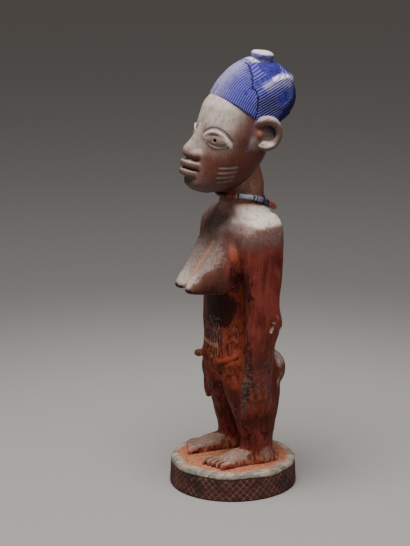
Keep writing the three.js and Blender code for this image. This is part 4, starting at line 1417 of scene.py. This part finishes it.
def glass_material(name, color, roughness):
    """Old opaque glass: a little cloudy, darker in patches, and scuffed."""
    s = Shader(name)
    fine = s.noise(0.8, 3, 0.6)
    cloudy = s.noise(2.4, 3, 0.5)
    body = s.mix(s.step(cloudy, 0.3, 0.7), tuple(0.55 * c for c in color), color)
    s.set("Base Color", s.coated(body, s.step(fine, 0.6, 0.8), 0.35, TAUPE))
    s.set("Roughness", s.step(fine, 0.3, 0.8, roughness, roughness + 0.3))
    s.set("IOR", 1.5)
    s.set("Coat Weight", 0.25)
    s.set("Coat Roughness", 0.15)
    s.set("Normal", s.bump(fine, 0.03))
    return s.material


def thread_material():
    s = Shader("thread")
    twist = s.noise(0.5, 3, 0.6, stretch=(1, 1, 3))
    s.set("Base Color", s.mix(s.step(twist, 0.3, 0.7), (0.05, 0.03, 0.02), (0.16, 0.10, 0.07)))
    s.set("Roughness", 0.9)
    s.set("Sheen Weight", 0.3)
    s.set("Normal", s.bump(twist, 0.08))
    return s.material


# Pieces


def piece(name, points, triangles, material, paint=None):
    """A finished piece of the object from points in metres."""
    mesh = mesh_of(name, points, triangles)
    for key, values in (paint or {}).items():
        layer = mesh.attributes.new(key, "FLOAT", "POINT")
        layer.data.foreach_set("value", np.asarray(values, np.float32))
    mesh.polygons.foreach_set("use_smooth", np.ones(len(mesh.polygons), bool))
    mesh.materials.append(material)
    made = bpy.data.objects.new(name, mesh)
    add(made)
    return made


body_grain = 0.7
face_grain = 0.5
fine_grain = 0.4
body_triangles = 188000


def figure_skin():
    """The body and head in one skin, with its marks cut in."""
    soft_body = fused(body_forms(), body_grain, 6)
    soft_head = fused([loft(head_stations, bulges=(1, 0))] + nose() + lips(), face_grain, 4)
    crisp = both_sides(*fingers(), *toes()) + [navel()]
    head = [on_neck(form) for form in [soft_head] + eyes() + ears()]
    points, triangles = fused([soft_body] + crisp + head, fine_grain, 2)
    form = carved(points, triangles), triangles
    ratio = body_triangles / len(triangles)
    points, triangles = modified("clay", form, "DECIMATE", ratio=ratio, use_collapse_triangulate=True)
    return points, triangles, body_paint(points, triangles)


def make_figure():
    for name, make, material in (
        ("figure_body", figure_skin, wood_material),
        ("figure_coiffure", coiffure, coiffure_material),
        ("figure_base", base, base_material),
    ):
        points, triangles, paint = make()
        made = piece(name, (points + [0, 0, base_height]) * MM, triangles, material(), paint)
        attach(made, BODY)
        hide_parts("figure")
        print(name, len(made.data.polygons), "triangles")


# The string of beads

GLASS = {
    "dark_red_glass": ((0.12, 0.012, 0.012), 0.25),
    "coral_glass": ((0.42, 0.07, 0.04), 0.3),
    "white_glass": ((0.40, 0.37, 0.36), 0.3),
    "pale_blue_glass": ((0.42, 0.50, 0.62), 0.2),
    "lavender_glass": ((0.22, 0.22, 0.40), 0.25),
    "dark_blue_glass": ((0.022, 0.030, 0.12), 0.22),
    "brown_glass": ((0.20, 0.065, 0.035), 0.35),
}
bead_hole = 0.8 * MM


def bead_axis(node):
    """The middle of a bead, its axis, half its length and its radius, from its solid."""
    points = np.array([tuple(node.matrix_world @ v.co) for v in node.data.vertices])
    middle = points.mean(axis=0)
    away = points - middle
    sizes, ways = np.linalg.eigh(away.T @ away)
    odd = int(np.argmax([abs(s - (sizes.sum() - s) / 2) for s in sizes]))
    axis = ways[:, odd]
    along = away @ axis
    radius = np.linalg.norm(away - np.outer(along, axis), axis=1).max()
    return middle, axis, np.abs(along).max(), radius


def bead_form(middle, axis, half, radius, seed):
    """A round bead or a short tube, a little uneven, with its hole."""
    curl = min(0.32 * (radius - bead_hole), half if half < 1.2 * radius else 0.9 * half)
    bends = np.linspace(0, math.pi / 2, 5)
    outer = [(radius - curl + curl * math.cos(b), half - curl + curl * math.sin(b)) for b in bends]
    profile = outer + [(bead_hole, half - 0.1 * curl)]
    profile = profile + [(r, -z) for r, z in profile[::-1]]
    r, z = np.array(profile).T
    turn = full_turn(32)
    side = unit(np.cross(axis, [0.1, 0.2, 1]))
    wobble = 1 - 0.02 * (1 + np.sin(2 * turn + seed)) * 0.5
    ring = np.outer(np.cos(turn) * wobble, side) + np.outer(np.sin(turn) * wobble, np.cross(axis, side))
    return skin(middle + r[:, None, None] * ring + z[:, None, None] * axis, looped=True)


def bead_runs(names, slots):
    """Beads of one glass that lie next to each other. The string is closed, so the ends may be one run."""
    runs = []
    for name in names:
        if runs and slots[runs[-1][-1]] == slots[name]:
            runs[-1].append(name)
        else:
            runs.append([name])
    if slots[runs[0][0]] == slots[runs[-1][0]]:
        runs[0] = runs.pop() + runs[0]
    return runs


def make_necklace():
    slots = {part["node"]: part["material_slot"] for part in frame["record"]["subparts"]}
    names = sorted(name for name in frame["nodes"] if name.startswith("bead_"))
    materials = {slot: glass_material(slot, *look) for slot, look in GLASS.items()}
    route, forms = [], {}
    for i, name in enumerate(names):
        middle, axis, half, radius = bead_axis(frame["nodes"][name])
        last = route[-1] if route else middle - [1, 0, 0]
        if np.linalg.norm(middle + axis * half - last) < np.linalg.norm(middle - axis * half - last):
            axis = -axis
        route += [middle - axis * half, middle + axis * half]
        forms[name] = bead_form(middle, axis, half, radius, i)
    beads = []
    for run in bead_runs(names, slots):
        slot = slots[run[0]]
        points, triangles = together([forms[name] for name in run])
        made = piece(f"glass_{len(beads) + 1:02}", points, triangles, materials[slot])
        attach(made, BODY)
        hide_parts(*run)
        beads.append(made)
    make_thread(route)


thread_radius = 0.4 * MM


def make_thread(route):
    """The thread runs through every bead and is tied off behind the neck."""
    back = 2 * (len(route) // 4)
    route = route[back:] + route[:back]
    start = (route[0] + route[-1]) / 2
    inset = 0.5 * MM * unit(route[0] - route[-1])
    path = [start + inset * 0.3] + route + [start - inset * 0.3]
    data = bpy.data.curves.new("necklace_string", "CURVE")
    data.dimensions = "3D"
    data.bevel_depth = thread_radius
    data.bevel_resolution = 3
    data.use_fill_caps = True
    spline = data.splines.new("POLY")
    spline.points.add(len(path) - 1)
    for point, place in zip(spline.points, path):
        point.co = (*place, 1)
    string = bpy.data.objects.new("necklace_string", data)
    add(string)
    data.materials.append(thread_material())
    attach(string, BODY)
    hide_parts("necklace_thread")


# The floor and the light

floor_sides = 96
light_aim = Vector((0, 0, 0.15))


def make_stage():
    rings = np.concatenate([[0.02], np.geomspace(0.06, 9, 40)])
    turn = full_turn(floor_sides)
    points = np.concatenate([[[0, 0, 0]]] + [circle(r, turn) for r in rings])
    faces = [(0, 1 + i, 1 + (i + 1) % floor_sides) for i in range(floor_sides)]
    starts = 1 + floor_sides * np.arange(len(rings))
    for a, b in zip(starts, starts[1:]):
        for i in range(floor_sides):
            j = (i + 1) % floor_sides
            faces += [(a + i, b + i, b + j), (a + i, b + j, a + j)]
    s = Shader("floor")
    distance = s.node("VectorMath", {0: s.place}, "Value", operation="LENGTH")
    # Painted light: a pool of light round the figure that darkens away from it, and painted brightening far
    # off in place of the lamps' falloff.
    near = s.step(distance, 0.16, 0.50)
    far = s.step(distance, 0.8, 3.2)
    color = s.mix(near, (0.335, 0.315, 0.303), (0.185, 0.174, 0.167))
    s.set("Base Color", s.mix(far, color, (0.42, 0.37, 0.33)))
    s.set("Roughness", 0.9)
    s.set("Specular IOR Level", 0.1)
    floor = piece("floor", points, np.array(faces), s.material)


def area_light(name, azimuth, elevation, distance, size, power):
    data = bpy.data.lights.new(name, "AREA")
    data.shape = "DISK"
    data.size = size
    data.energy = power
    light = bpy.data.objects.new(name, data)
    a, e = math.radians(azimuth), math.radians(elevation)
    away = Vector((math.sin(a) * math.cos(e), -math.cos(a) * math.cos(e), math.sin(e)))
    light.location = light_aim + distance * away
    light.rotation_euler = away.to_track_quat("Z", "Y").to_euler()
    add(light)


def make_lights():
    area_light("top_light", azimuth=45, elevation=76, distance=1.0, size=0.7, power=19)
    area_light("side_fill", azimuth=110, elevation=25, distance=1.6, size=1.0, power=1.9)
    area_light("front_fill", azimuth=20, elevation=20, distance=1.6, size=1.0, power=0.8)
    world = bpy.data.worlds.new("studio")
    world.use_nodes = True
    world.node_tree.nodes["Background"].inputs["Color"].default_value = (0.98, 0.96, 0.94, 1)
    world.node_tree.nodes["Background"].inputs["Strength"].default_value = 0.15
    bpy.context.scene.world = world


make_camera()
make_necklace()
make_figure()
make_stage()
make_lights()
